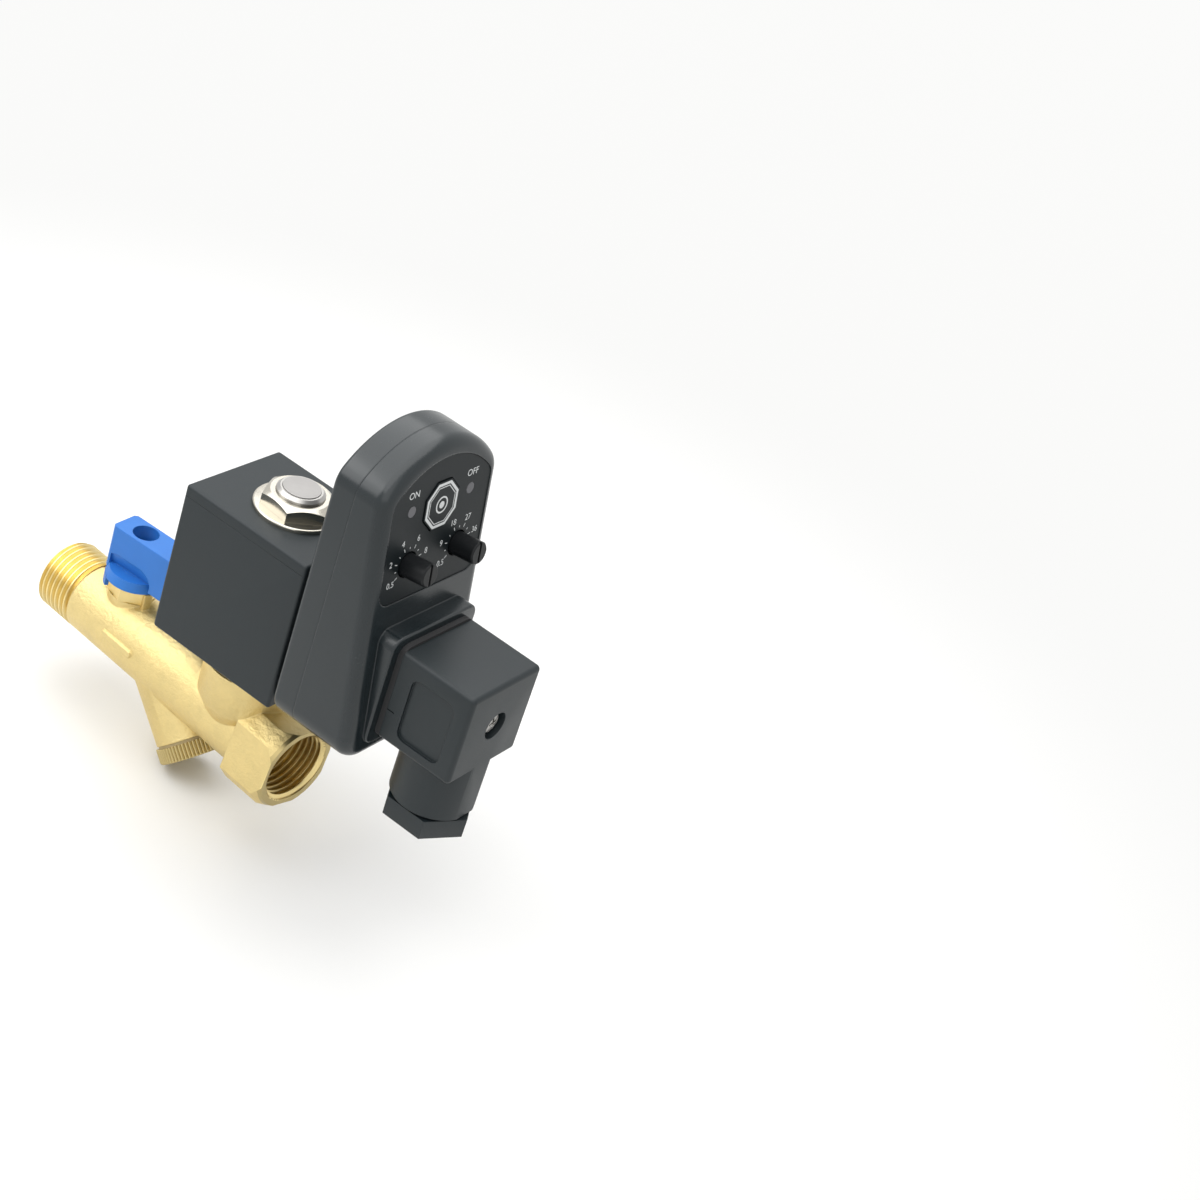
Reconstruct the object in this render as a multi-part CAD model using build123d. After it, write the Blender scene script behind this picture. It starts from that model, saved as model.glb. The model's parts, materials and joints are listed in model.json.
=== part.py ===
from build123d import *
import math
import os

os.makedirs("parts", exist_ok=True)

# Frame, in mm: the origin is the centre of the inlet's end face, +X runs along the pipe
# with the flow, +Z points up along the coil's axis

# Fits, and how far a cut runs past the face that it opens
cut_margin = 1.0
running_gap = 0.05
fit_gap = 0.05
blade_gap = 0.3
moving_gap = 0.3

# Pipe thread G 1/2, inlet male and outlet female
thread_major_r = 10.4775
thread_minor_r = 9.3155
inlet_thread_length = 13.0

# Cast pipe body
pipe_r = 10.4
shoulder_groove = 0.5
outlet_flats = 23.0
outlet_corner_flats = 26.8
outlet_turn = 7.9
outlet_length = 15.0
outlet_thread_depth = 14.0
outlet_mouth_chamfer = 1.2
outlet_face_r = 12.1
outlet_taper = 3.0
outlet_edge_margin = 0.4
body_length = 97.0
coil_x = 73.7
passage_r = 4.6

# Ball valve
stem_x = 25.7
ball_r = 6.6
ball_port_r = 4.25
ball_chamber_r = 7.0
ball_slot_width = 2.5
ball_slot_floor = 4.4
seat_inner_offset = 3.4
seat_outer_offset = 7.2
retainer_length = 5.0
retainer_slot_width = 1.8
retainer_slot_depth = 1.6
stem_r = 3.0
stem_square = 4.4
stem_tang_width = 5.4
stem_boss_r = 6.6
stem_boss_top = 10.5
packing_r = 4.6
packing_floor = 8.0
packing_height = 0.9
gland_hex_flats = 12.3
gland_hex_height = 4.7
gland_hex_turn = -14.0
gland_chamfer = 0.6

# Quarter-turn stop under the lever
stop_inner_r = 7.45
stop_ring_r = 8.6
stop_lug_angle = 346.0
stop_lug_width = 16.0
stop_notch_start = 197.0
stop_notch_width = 175.0
stop_skirt_height = 1.7

# Lever
lever_turn = 8.0
lever_foot_gap = 0.3
lever_ring_height = 2.7
lever_ring_taper = 0.8
lever_neck_r = 4.5
lever_arm_lift = 1.2
lever_arm_height = 13.2
lever_cup_r = 9.5
lever_cup_depth = 5.3
lever_cup_round = 4.0
lever_width = 9.4
lever_back = 7.9
lever_back_wall = 1.5
lever_reach = 23.5
lever_bevel = 0.9
lever_nose_bevel = 1.6
lever_edge_round = 0.35
lever_screw_recess_r = 3.65
lever_screw_recess_depth = 5.6
lever_screw_head_r = 2.6
lever_screw_head_height = 2.0
lever_screw_r = 1.4
lever_screw_length = 9.0
stem_socket_depth = 6.0

# Strainer branch, measured along its own axis from the pipe's axis
branch_x = 41.7
branch_angle = 45.0
branch_r = 9.25
branch_length = 24.0
screen_chamber_r = 6.6
screen_start = 5.0
screen_r = 6.0
screen_wall = 0.4
cap_r = 9.8
cap_height = 4.4
cap_flute_count = 60
cap_flute_r = 0.45
cap_spigot_length = 4.0
cap_edge_chamfer = 0.5
cap_gasket_height = 0.8
cap_gasket_r = 8.9
bridge_start_x = 52.0
bridge_start_z = -3.0
bridge_r = 2.6

# Valve chamber under the coil
chamber_boss_r = 13.0
chamber_boss_top = 19.8
chamber_boss_foot = 9.0
chamber_foot_r = 9.0
chamber_foot_z = 2.0
chamber_r = 9.0
chamber_floor = 7.5
nozzle_r = 3.6
nozzle_top = 9.5
orifice_r = 2.0
outlet_passage_r = 3.5
outlet_passage_z = -2.0

# Core tube and plunger
coil_z = 23.8
tube_r = 6.4
tube_bore_r = 5.05
tube_spigot_length = 6.0
tube_hex_flats = 22.0
tube_above_coil = 6.5
tube_end_chamfer = 0.8
o_ring_section_r = 0.65
o_ring_groove = 1.5
o_ring_below_hex = 2.2
core_bottom_z = 50.0
core_proud = 0.2
shading_ring_r = 3.9
shading_ring_width = 0.8
shading_ring_depth = 1.5
plunger_lift = 2.5
plunger_air_gap = 0.1
plunger_seal_r = 3.5
plunger_seal_height = 2.2
plunger_seal_proud = 0.4
plunger_slot_width = 1.6
plunger_slot_depth = 0.7
spring_pocket_r = 3.3
spring_pocket_depth = 14.0
spring_r = 2.6
spring_wire_r = 0.35
spring_turns = 8

# Coil block, from here on in the coil's frame: origin in the middle of its underside,
# +X towards the plug
coil_turn = 5.2
coil_bore_offset = 1.2
coil_length = 41.4
coil_width = 34.9
coil_height = 44.3
coil_edge_round = 0.9
coil_cavity_wall = 3.0
yoke_thickness = 1.8
yoke_width = 26.0
bobbin_gap = 0.08
bobbin_wall = 1.2
bobbin_flange_r = 13.4
winding_r = 12.6
coil_washer_r = 11.5
coil_washer_height = 1.2
coil_washer_round = 0.5
coil_nut_flats = 17.0
coil_nut_height = 3.9
coil_nut_chamfer = 1.3
coil_nut_turn = -2.0

# Plug contacts, shared by the coil, the timer and the plug
contact_z = 24.3
blade_width = 6.3
blade_thickness = 0.8
line_blade_y = 9.0
earth_blade_drop = 9.0
coil_blade_root = 12.0
coil_blade_tail = 1.0
coil_blade_reach = 13.5
timer_blade_reach = 9.0
blade_seat_length = 9.0
screw_r = 1.5
screw_hole_r = 1.9

# Timer
coil_gasket_thickness = 3.8
coil_gasket_half_width = 16.0
coil_gasket_bottom = 2.0
coil_gasket_top = 42.5
gasket_corner_r = 3.0
timer_half_width = 22.7
timer_top = 86.8
timer_arch_r = 29.0
timer_bottom = 3.3
timer_corner_r = 7.0
timer_front_x = 50.9
timer_slope = 7.8
timer_front_round = 3.8
timer_back_round = 1.2
timer_wall = 2.0
timer_seam_x = 31.5
timer_boss_half_width = 16.8
timer_boss_half_height = 16.2
timer_boss_face_x = 50.5
timer_boss_corner_r = 3.5
timer_boss_round = 0.6

# Timer panel, along the sloping front
panel_half_width = 19.2
panel_top = 82.9
panel_bottom = 47.2
panel_arch_r = 26.0
panel_corner_r = 4.0
panel_recess = 0.6
panel_thickness = 0.4
panel_gap = 0.1
button_z = 70.0
button_flats = 12.8
button_proud = 0.3
button_travel = 0.6
button_flange = 0.8
button_flange_height = 0.8
button_stem_r = 1.6
led_y = 11.5
led_z = 71.2
led_r = 1.5
led_length = 5.0
knob_y = 9.8
knob_z = 56.6
knob_r = 3.1
knob_length = 7.2
knob_hole_r = 3.5
knob_edge_chamfer = 0.35
knob_slot_width = 0.8
knob_slot_depth = 0.5
knob_spindle_r = 1.5
board_setback = 10.5
board_thickness = 1.6
board_margin = 1.0
board_bottom_z = 45.0
pot_size = 9.5
pot_depth = 4.5
switch_size = 6.0
switch_depth = 3.4
contact_block_half = 12.5

# Plug
plug_back_x = 52.0
plug_depth = 22.7
plug_half_width = 14.0
plug_height = 26.4
plug_edge_round = 1.4
plug_front_wall = 4.8
plug_neck_x = 63.9
plug_neck_r = 11.25
plug_neck_bottom = -4.6
plug_neck_bore_r = 8.0
plug_recess_r = 3.9
plug_recess_depth = 3.4
plug_window_depth = 0.8
plug_window_back = 4.6
plug_window_width = 13.5
plug_window_bottom = 3.2
plug_window_height = 18.5
plug_window_corner_r = 2.4
plug_screw_head_r = 3.0
plug_screw_head_height = 2.2
plug_screw_end_x = 17.0
terminal_block_half = 10.8
terminal_block_gap = 3.4
plug_contact_size = 5.0
plug_contact_length = 3.5
gland_flats = 21.0
gland_height = 5.8
gland_collar_r = 9.6
gland_collar_height = 0.8
gland_bore_r = 5.0
gland_edge_chamfer = 1.4
gland_spigot_length = 5.0
gland_washer_height = 0.6
grommet_height = 6.0
grommet_bore_r = 3.6
grommet_taper = 1.2

# Values worked out from the driving ones
low_middle = (Align.CENTER, Align.CENTER, Align.MIN)
octagon_sides = 8
octagon_phase = 180 / octagon_sides
slope_run = math.tan(math.radians(timer_slope))
slope_stretch = 1 / math.cos(math.radians(timer_slope))
coil_place = Pos(coil_x, 0, coil_z) * Rot(0, 0, coil_turn) * Pos(-coil_bore_offset, 0, 0)
bore_place = Pos(coil_bore_offset, 0, 0)
lever_place = Pos(stem_x, 0, 0) * Rot(0, 0, lever_turn)
branch_dir = (math.cos(math.radians(branch_angle)), 0, -math.sin(math.radians(branch_angle)))
branch_side = (math.sin(math.radians(branch_angle)), 0, math.cos(math.radians(branch_angle)))
branch_place = Plane(origin=(branch_x, 0, 0), x_dir=branch_side, z_dir=branch_dir).location
outlet_start = body_length - outlet_length
gland_nut_top = stem_boss_top + gland_hex_height
lever_foot_z = gland_nut_top + lever_foot_gap
lever_arm_z = lever_foot_z + lever_arm_lift
lever_top_z = lever_arm_z + lever_arm_height
stem_top_z = lever_foot_z + stem_socket_depth
lever_seat_z = lever_top_z - lever_screw_recess_depth
tube_top = coil_z + coil_height + tube_above_coil
gasket_face_x = coil_length / 2
timer_back_x = gasket_face_x + coil_gasket_thickness
plunger_bottom = nozzle_top + plunger_seal_proud
plunger_top = core_bottom_z - plunger_lift - plunger_air_gap
board_face = board_setback - board_thickness / 2
plug_bottom = contact_z - plug_height / 2
plug_top = plug_bottom + plug_height
plug_front_x = plug_back_x + plug_depth
plug_front_inside = plug_front_x - plug_front_wall


def upright(radius, low, high):
    """A vertical cylinder between two heights, on the local axis."""
    return Pos(0, 0, low) * Cylinder(radius, high - low, align=low_middle)


def along_x(radius, start, end):
    """A cylinder on the X axis between two stations."""
    return Pos(start, 0, 0) * Rot(0, 90, 0) * Cylinder(radius, end - start, align=low_middle)


def block(x_range, y_range, z_range):
    """A box given by its faces."""
    low = (x_range[0], y_range[0], z_range[0])
    size = (x_range[1] - low[0], y_range[1] - low[1], z_range[1] - low[2])
    return Pos(*low) * Box(*size, align=(Align.MIN, Align.MIN, Align.MIN))


def turned_prism(flats, sides, low, high, chamfer_low, chamfer_high, first_angle=0):
    """An upright prism whose corners are turned down to a cone at either end."""
    corner_r = flats / 2 / math.cos(math.pi / sides)
    prism = Pos(0, 0, low) * extrude(Rot(0, 0, first_angle) * RegularPolygon(corner_r, sides), high - low)
    lathe = upright(corner_r + fit_gap, low, high)
    drop = corner_r + fit_gap - flats / 2
    if chamfer_low:
        lathe = chamfer(lathe.edges().group_by(Axis.Z)[0], chamfer_low, drop + chamfer_low / 2)
    if chamfer_high:
        lathe = chamfer(lathe.edges().group_by(Axis.Z)[-1], chamfer_high, drop + chamfer_high / 2)
    return prism & lathe


def outlet_port():
    """The outlet's block, a turned square with its corners cut, tapering at the mouth."""
    corners = Rot(0, 0, 45) * Rectangle(outlet_corner_flats, outlet_corner_flats)
    outline = Rot(0, 0, -outlet_turn) * (Rectangle(outlet_flats, outlet_flats) & corners)
    taper_start = outlet_length - outlet_taper
    lathe_r = outlet_corner_flats / 2 + outlet_edge_margin
    lathe = upright(lathe_r, 0, taper_start)
    lathe += Pos(0, 0, taper_start) * Cone(lathe_r, outlet_face_r, outlet_taper, align=low_middle)
    return Pos(outlet_start, 0, 0) * Rot(0, 90, 0) * (extrude(outline, outlet_length) & lathe)


def chamber_boss():
    """The round boss that carries the core tube, tapering into the pipe below."""
    boss = upright(chamber_boss_r, chamber_boss_foot, chamber_boss_top)
    foot_height = chamber_boss_foot - chamber_foot_z
    foot = Pos(0, 0, chamber_foot_z) * Cone(chamber_foot_r, chamber_boss_r, foot_height, align=low_middle)
    return Pos(coil_x, 0, 0) * (boss + foot)


def stop_sector(low, high, centre_angle, width, inner, outer):
    """A ring sector about the stem, such as the stop lug or the notch it runs in."""
    ring = upright(outer, low, high) - upright(inner, low, high)
    reach = outer * 2
    half = math.radians(width / 2)
    wedge_points = [
        (0, 0),
        (reach * math.cos(half), -reach * math.sin(half)),
        (reach, 0),
        (reach * math.cos(half), reach * math.sin(half)),
    ]
    wedge = Pos(0, 0, low) * extrude(make_face(Polyline(*wedge_points, close=True)), high - low)
    return ring & (Rot(0, 0, centre_angle) * wedge)


def body_outside():
    """Everything the casting and its machining show outside."""
    shape = along_x(pipe_r, inlet_thread_length, outlet_start + fit_gap)
    shape += along_x(thread_major_r, 0, inlet_thread_length - shoulder_groove)
    shape += along_x(thread_minor_r, 0, inlet_thread_length + shoulder_groove)
    shape += Pos(stem_x, 0, 0) * upright(stem_boss_r, 0, stem_boss_top)
    shape += branch_place * upright(branch_r, 0, branch_length)
    shape += chamber_boss()
    shape += outlet_port()
    lug_top = lever_foot_z - lever_foot_gap
    lug = stop_sector(0, lug_top, stop_lug_angle, stop_lug_width, stop_inner_r, stop_ring_r)
    return shape + Pos(stem_x, 0, 0) * lug


def body_passages():
    """The ball chamber, strainer chamber, bridge, valve chamber and outlet."""
    cut = along_x(ball_chamber_r, 0, stem_x + seat_outer_offset)
    cut += along_x(passage_r, stem_x, branch_x)
    cut += branch_place * upright(passage_r, 0, screen_start + cut_margin)
    cut += branch_place * upright(screen_chamber_r, screen_start, branch_length)
    bridge_end = Vector(coil_x - chamber_r + bridge_r, 0, chamber_floor + bridge_r / 2)
    bridge_axis = bridge_end - Vector(bridge_start_x, 0, bridge_start_z)
    bridge_plane = Plane(origin=(bridge_start_x, 0, bridge_start_z), z_dir=bridge_axis)
    cut += bridge_plane.location * upright(bridge_r, 0, bridge_axis.length)
    chamber = upright(chamber_r, chamber_floor, chamber_boss_top)
    chamber -= upright(nozzle_r, chamber_floor, nozzle_top)
    chamber += upright(orifice_r, outlet_passage_z, nozzle_top)
    cut += Pos(coil_x, 0, 0) * chamber
    outlet_passage = along_x(outlet_passage_r, coil_x - outlet_passage_r, body_length - outlet_thread_depth)
    return cut + Pos(0, 0, outlet_passage_z) * outlet_passage


def stem_hole():
    """The bore for the stem and the packing chamber above it."""
    hole = upright(stem_r + running_gap, 0, stem_boss_top)
    return Pos(stem_x, 0, 0) * (hole + upright(packing_r, packing_floor, stem_boss_top))


def outlet_bore():
    """The female thread's bore with its countersunk mouth."""
    bore = along_x(thread_minor_r, body_length - outlet_thread_depth, body_length)
    mouth_r = thread_minor_r + outlet_mouth_chamfer
    mouth = Cone(thread_minor_r, mouth_r, outlet_mouth_chamfer, align=low_middle)
    return bore + Pos(body_length - outlet_mouth_chamfer, 0, 0) * Rot(0, 90, 0) * mouth


def valve_body():
    return body_outside() - body_passages() - stem_hole() - outlet_bore()


def ball_retainer():
    """The ring screwed in behind the inlet, with two slots for a key."""
    end = stem_x - seat_outer_offset
    start = end - retainer_length
    ring = along_x(ball_chamber_r - fit_gap, start, end) - along_x(passage_r, start, end)
    slot_half = retainer_slot_width / 2
    reach = ball_chamber_r
    slot = block((start, start + retainer_slot_depth), (-reach, reach), (-slot_half, slot_half))
    return ring - slot


def ball_seats():
    """Two soft rings, hollowed to the ball, that seal it from either side."""
    wide = seat_outer_offset - seat_inner_offset
    deep = ball_chamber_r - fit_gap - passage_r
    section = Pos(seat_inner_offset, passage_r) * Rectangle(wide, deep, align=(Align.MIN, Align.MIN))
    section -= Circle(ball_r + running_gap)
    seats = [revolve(Plane.XZ * section, Axis.X), revolve(Plane.XZ * mirror(section, about=Plane.YZ), Axis.X)]
    return Compound(children=[Pos(stem_x, 0, 0) * seat.solid() for seat in seats])


def valve_ball():
    ball = Sphere(ball_r) - along_x(ball_port_r, -ball_r, ball_r)
    slot_half = ball_slot_width / 2
    ball -= block((-slot_half, slot_half), (-ball_r, ball_r), (ball_slot_floor, ball_r))
    return lever_place * ball


def valve_stem():
    """Round in the packing, a tang in the ball's slot and a square in the lever."""
    tang_low = ball_slot_floor + fit_gap
    tang_half = ball_slot_width / 2 - fit_gap
    width_half = stem_tang_width / 2
    stem = upright(stem_r, ball_r, lever_foot_z)
    stem += block((-tang_half, tang_half), (-width_half, width_half), (tang_low, ball_r))
    side = stem_square / 2
    stem += block((-side, side), (-side, side), (lever_foot_z, stem_top_z - fit_gap))
    stem -= upright(lever_screw_r + fit_gap, lever_seat_z - lever_screw_length - fit_gap, stem_top_z)
    return lever_place * stem


def stem_packing():
    ring = upright(packing_r - fit_gap, packing_floor, packing_floor + packing_height)
    ring -= upright(stem_r + running_gap, packing_floor, packing_floor + packing_height)
    return Pos(stem_x, 0, 0) * ring


def stem_gland_nut():
    """The brass hexagon under the lever, with a spigot that presses the packing."""
    nut = turned_prism(gland_hex_flats, 6, stem_boss_top, gland_nut_top, 0, gland_chamfer, gland_hex_turn)
    nut += upright(packing_r - fit_gap, packing_floor + packing_height, stem_boss_top)
    nut -= upright(stem_r + running_gap, packing_floor, gland_nut_top)
    return Pos(stem_x, 0, 0) * nut


def lever_outline():
    """The arm from above: bevelled behind the stem, blunt at the free end."""
    half = lever_width / 2
    points = [
        (-lever_back, -half + lever_bevel),
        (-lever_back + lever_bevel, -half),
        (lever_reach - lever_nose_bevel, -half),
        (lever_reach, -half + lever_nose_bevel),
        (lever_reach, half - lever_nose_bevel),
        (lever_reach - lever_nose_bevel, half),
        (-lever_back + lever_bevel, half),
        (-lever_back, half - lever_bevel),
    ]
    return make_face(Polyline(*points, close=True))


def lever_cup():
    """The round hollow under the arm that leaves a neck at the stem and the back wall."""
    cup_top = lever_arm_z + lever_cup_depth
    cup = upright(lever_cup_r, lever_foot_z, cup_top)
    cup = fillet(cup.edges().group_by(Axis.Z)[-1], lever_cup_round)
    reach = lever_cup_r
    cup &= block((lever_back_wall - lever_back, reach), (-reach, reach), (lever_foot_z, cup_top))
    return cup - upright(lever_neck_r, lever_foot_z, cup_top)


def lever():
    """The blue handle: a square arm, hollowed over a round stop ring with a notched skirt."""
    arm = Pos(0, 0, lever_arm_z) * extrude(lever_outline(), lever_arm_height)
    arm = fillet(arm.edges().group_by(Axis.Z)[-1], lever_edge_round)
    arm += upright(lever_neck_r, lever_foot_z, lever_arm_z)
    ring_top_r = stop_ring_r - lever_ring_taper
    ring = Pos(0, 0, lever_foot_z) * Cone(stop_ring_r, ring_top_r, lever_ring_height, align=low_middle)
    skirt_low = lever_foot_z - stop_skirt_height
    skirt = upright(stop_ring_r, skirt_low, lever_foot_z) - upright(stop_inner_r, skirt_low, lever_foot_z)
    notch_angle = stop_notch_start + stop_notch_width / 2
    skirt -= stop_sector(skirt_low, lever_foot_z, notch_angle, stop_notch_width, 0, stop_ring_r + fit_gap)
    handle = (arm - lever_cup()) + ring + skirt
    side = stem_square / 2 + fit_gap
    handle -= block((-side, side), (-side, side), (lever_foot_z, stem_top_z))
    handle -= upright(lever_screw_recess_r, lever_seat_z, lever_top_z)
    handle -= upright(lever_screw_r + fit_gap, lever_foot_z, lever_top_z)
    return lever_place * handle


def lever_screw():
    head = upright(lever_screw_head_r, lever_seat_z, lever_seat_z + lever_screw_head_height)
    head = fillet(head.edges().group_by(Axis.Z)[-1], lever_screw_r / 2)
    return lever_place * (head + upright(lever_screw_r, lever_seat_z - lever_screw_length, lever_seat_z))


def strainer_screen():
    """A gauze tube held between the strainer chamber's step and the cap."""
    end = branch_length + cap_gasket_height - cap_spigot_length
    tube = upright(screen_r, screen_start, end) - upright(screen_r - screen_wall, screen_start, end)
    return branch_place * tube


def strainer_gasket():
    top = branch_length + cap_gasket_height
    ring = upright(cap_gasket_r, branch_length, top) - upright(screen_chamber_r, branch_length, top)
    return branch_place * ring


def strainer_cap():
    """The knurled screw cap with its spigot in the strainer chamber."""
    face = branch_length + cap_gasket_height
    cap = upright(cap_r, face, face + cap_height)
    cap = chamfer(cap.edges().group_by(Axis.Z)[-1], cap_edge_chamfer)
    flute = upright(cap_flute_r, face, face + cap_height)
    cap -= PolarLocations(cap_r, cap_flute_count) * flute
    cap += upright(screen_chamber_r - fit_gap, face - cap_spigot_length, face)
    cap -= upright(screen_r - screen_wall, face - cap_spigot_length, face)
    return branch_place * cap


def core_tube():
    """The pressure tube: a spigot in the body, a hexagon and the long tube."""
    hex_low = chamber_boss_top
    low = hex_low - tube_spigot_length
    tube = upright(chamber_r - fit_gap, low, hex_low)
    tube += turned_prism(tube_hex_flats, 6, hex_low, coil_z, 0, 0)
    shank = upright(tube_r, coil_z, tube_top)
    tube += chamfer(shank.edges().group_by(Axis.Z)[-1], tube_end_chamfer)
    groove_middle = hex_low - o_ring_below_hex
    groove_low = groove_middle - o_ring_groove / 2
    groove_r = chamber_r - fit_gap - o_ring_groove
    groove = upright(chamber_r, groove_low, groove_low + o_ring_groove)
    tube -= groove - upright(groove_r, groove_low, groove_low + o_ring_groove)
    tube -= upright(tube_bore_r, low, tube_top)
    return Pos(coil_x, 0, 0) * tube


def tube_o_ring():
    ring_r = chamber_r - fit_gap - o_ring_section_r - fit_gap
    middle = chamber_boss_top - o_ring_below_hex
    return Pos(coil_x, 0, middle) * Torus(ring_r, o_ring_section_r)


def fixed_core():
    """The soft iron core in the top of the tube, grooved for the shading ring."""
    core = upright(tube_bore_r - fit_gap, core_bottom_z, tube_top + core_proud)
    groove_top = core_bottom_z + shading_ring_depth + fit_gap
    groove = upright(shading_ring_r + fit_gap, core_bottom_z, groove_top)
    groove -= upright(shading_ring_r - shading_ring_width - fit_gap, core_bottom_z, groove_top)
    return Pos(coil_x, 0, 0) * (core - groove)


def shading_ring():
    top = core_bottom_z + shading_ring_depth
    ring = upright(shading_ring_r, core_bottom_z, top)
    return Pos(coil_x, 0, 0) * (ring - upright(shading_ring_r - shading_ring_width, core_bottom_z, top))


def plunger():
    """The armature: a slotted rod with a spring pocket above and a seal below."""
    rod = upright(tube_bore_r - running_gap, plunger_bottom, plunger_top)
    rod -= upright(spring_pocket_r, plunger_top - spring_pocket_depth, plunger_top)
    pocket_top = nozzle_top + plunger_seal_height + fit_gap
    rod -= upright(plunger_seal_r + fit_gap, plunger_bottom, pocket_top)
    slot_half = plunger_slot_width / 2
    slot_floor = tube_bore_r - running_gap - plunger_slot_depth
    slot = block((slot_floor, tube_bore_r), (-slot_half, slot_half), (plunger_bottom, plunger_top))
    rod -= PolarLocations(0, 2) * slot
    return Pos(coil_x, 0, 0) * rod


def plunger_seal():
    return Pos(coil_x, 0, 0) * upright(plunger_seal_r, nozzle_top, nozzle_top + plunger_seal_height)


def plunger_spring():
    """A compression spring from the plunger's pocket up to the fixed core."""
    low = plunger_top - spring_pocket_depth + spring_wire_r
    height = core_bottom_z - spring_wire_r - low
    path = Helix(height / spring_turns, height, spring_r)
    section = Plane(origin=path @ 0, z_dir=path % 0) * Circle(spring_wire_r)
    return Pos(coil_x, 0, low) * sweep(section, path=path)


def coil_shell():
    """The moulded block with a cavity for the bobbin and yoke, and the tube's bore."""
    half_l = coil_length / 2
    half_w = coil_width / 2
    shell = block((-half_l, half_l), (-half_w, half_w), (0, coil_height))
    shell = fillet(shell.edges(), coil_edge_round)
    cavity_l = half_l - coil_cavity_wall
    cavity_w = half_w - coil_cavity_wall
    cavity_top = coil_height - coil_cavity_wall
    shell -= block((-cavity_l, cavity_l), (-cavity_w, cavity_w), (coil_cavity_wall, cavity_top))
    return shell - bore_place * upright(tube_r + bobbin_gap + bobbin_wall, 0, coil_height)


def line_blades(start, end, gap=0.0):
    """Two upright line blades and the flat earth blade below them, or slots for them."""
    thick = blade_thickness / 2 + gap
    wide = blade_width / 2 + gap
    blades = Sketch()
    upright_blade = Rectangle(2 * thick, 2 * wide)
    blades += Pos(line_blade_y, contact_z) * upright_blade
    blades += Pos(-line_blade_y, contact_z) * upright_blade
    blades += Pos(0, contact_z - earth_blade_drop) * Rectangle(2 * wide, 2 * thick)
    return extrude(Plane.YZ.offset(start) * blades, end - start)


def coil_housing():
    slots = line_blades(coil_blade_root, gasket_face_x, fit_gap)
    screw_well = Pos(0, 0, contact_z) * along_x(screw_hole_r, plug_screw_end_x - cut_margin, gasket_face_x)
    return coil_place * (coil_shell() - slots - screw_well)


def coil_bobbin():
    """The spool that the winding fills, running on the core tube."""
    low = coil_cavity_wall + yoke_thickness + fit_gap
    high = coil_height - low
    spool_r = tube_r + bobbin_gap + bobbin_wall
    spool = upright(spool_r - fit_gap, 0, coil_height)
    spool += upright(bobbin_flange_r, low, low + bobbin_wall)
    spool += upright(bobbin_flange_r, high - bobbin_wall, high)
    spool -= upright(tube_r + bobbin_gap, 0, coil_height)
    spool = bore_place * spool
    sides = coil_width / 2 - coil_cavity_wall - fit_gap
    spool &= block((-coil_length, coil_length), (-sides, sides), (0, coil_height))
    return coil_place * spool


def coil_winding():
    low = coil_cavity_wall + yoke_thickness + bobbin_wall + 2 * fit_gap
    high = coil_height - low
    spool_r = tube_r + bobbin_gap + bobbin_wall
    return coil_place * bore_place * (upright(winding_r, low, high) - upright(spool_r, low, high))


def coil_yoke():
    """The steel frame round the winding: two plates joined by two sides."""
    half_l = coil_length / 2 - coil_cavity_wall - fit_gap
    half_w = yoke_width / 2
    low = coil_cavity_wall + fit_gap / 2
    high = coil_height - low
    frame = block((-half_l, half_l), (-half_w, half_w), (low, high))
    inner_l = half_l - yoke_thickness
    frame -= block((-inner_l, inner_l), (-half_w, half_w), (low + yoke_thickness, high - yoke_thickness))
    frame -= bore_place * upright(tube_r + bobbin_gap + bobbin_wall, low, high)
    frame -= line_blades(coil_blade_root, half_l, blade_gap)
    return coil_place * (frame - Pos(0, 0, contact_z) * along_x(screw_hole_r, inner_l, half_l))


def coil_terminals():
    """The two line blades and the earth blade that stand out of the coil."""
    root = coil_length / 2 - coil_cavity_wall - yoke_thickness - coil_blade_tail
    return coil_place * line_blades(root, gasket_face_x + coil_blade_reach)


def coil_washer():
    low = coil_z + coil_height
    washer = upright(coil_washer_r, low, low + coil_washer_height)
    washer = fillet(washer.edges().group_by(Axis.Z)[-1], coil_washer_round)
    return Pos(coil_x, 0, 0) * (washer - upright(tube_r + fit_gap, low, low + coil_washer_height))


def coil_nut():
    """The nickelled nut that clamps the coil, its corners turned down on top."""
    low = coil_z + coil_height + coil_washer_height
    high = low + coil_nut_height
    nut = turned_prism(coil_nut_flats, 6, low, high, 0, coil_nut_chamfer, coil_nut_turn)
    return Pos(coil_x, 0, 0) * (nut - upright(tube_r + fit_gap, low, high))


def rounded_slab(half_width, low, high, corner_r, start, end):
    """A plate across X with rounded corners, such as a gasket or the plug's boss."""
    sheet = Pos(0, (low + high) / 2) * RectangleRounded(2 * half_width, high - low, corner_r)
    return extrude(Plane.YZ.offset(start) * sheet, end - start)


def timer_gasket():
    start = gasket_face_x
    slab = rounded_slab(
        coil_gasket_half_width, coil_gasket_bottom, coil_gasket_top, gasket_corner_r, start, timer_back_x
    )
    slab -= line_blades(start, timer_back_x, fit_gap)
    return coil_place * (slab - Pos(0, 0, contact_z) * along_x(screw_hole_r, start, timer_back_x))


def arched_sheet(half_width, bottom, top, arch_r, corner_r):
    """An upright outline with straight sides, a low arched top and rounded corners."""
    centre = top - arch_r
    sides = Pos(0, (bottom + centre) / 2) * Rectangle(2 * half_width, centre - bottom)
    arch = Pos(0, centre) * (Circle(arch_r) & Rectangle(2 * half_width, 2 * arch_r))
    sheet = sides + (arch & Pos(0, centre + arch_r) * Rectangle(2 * half_width, 2 * arch_r))
    return fillet(sheet.vertices(), corner_r)


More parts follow.
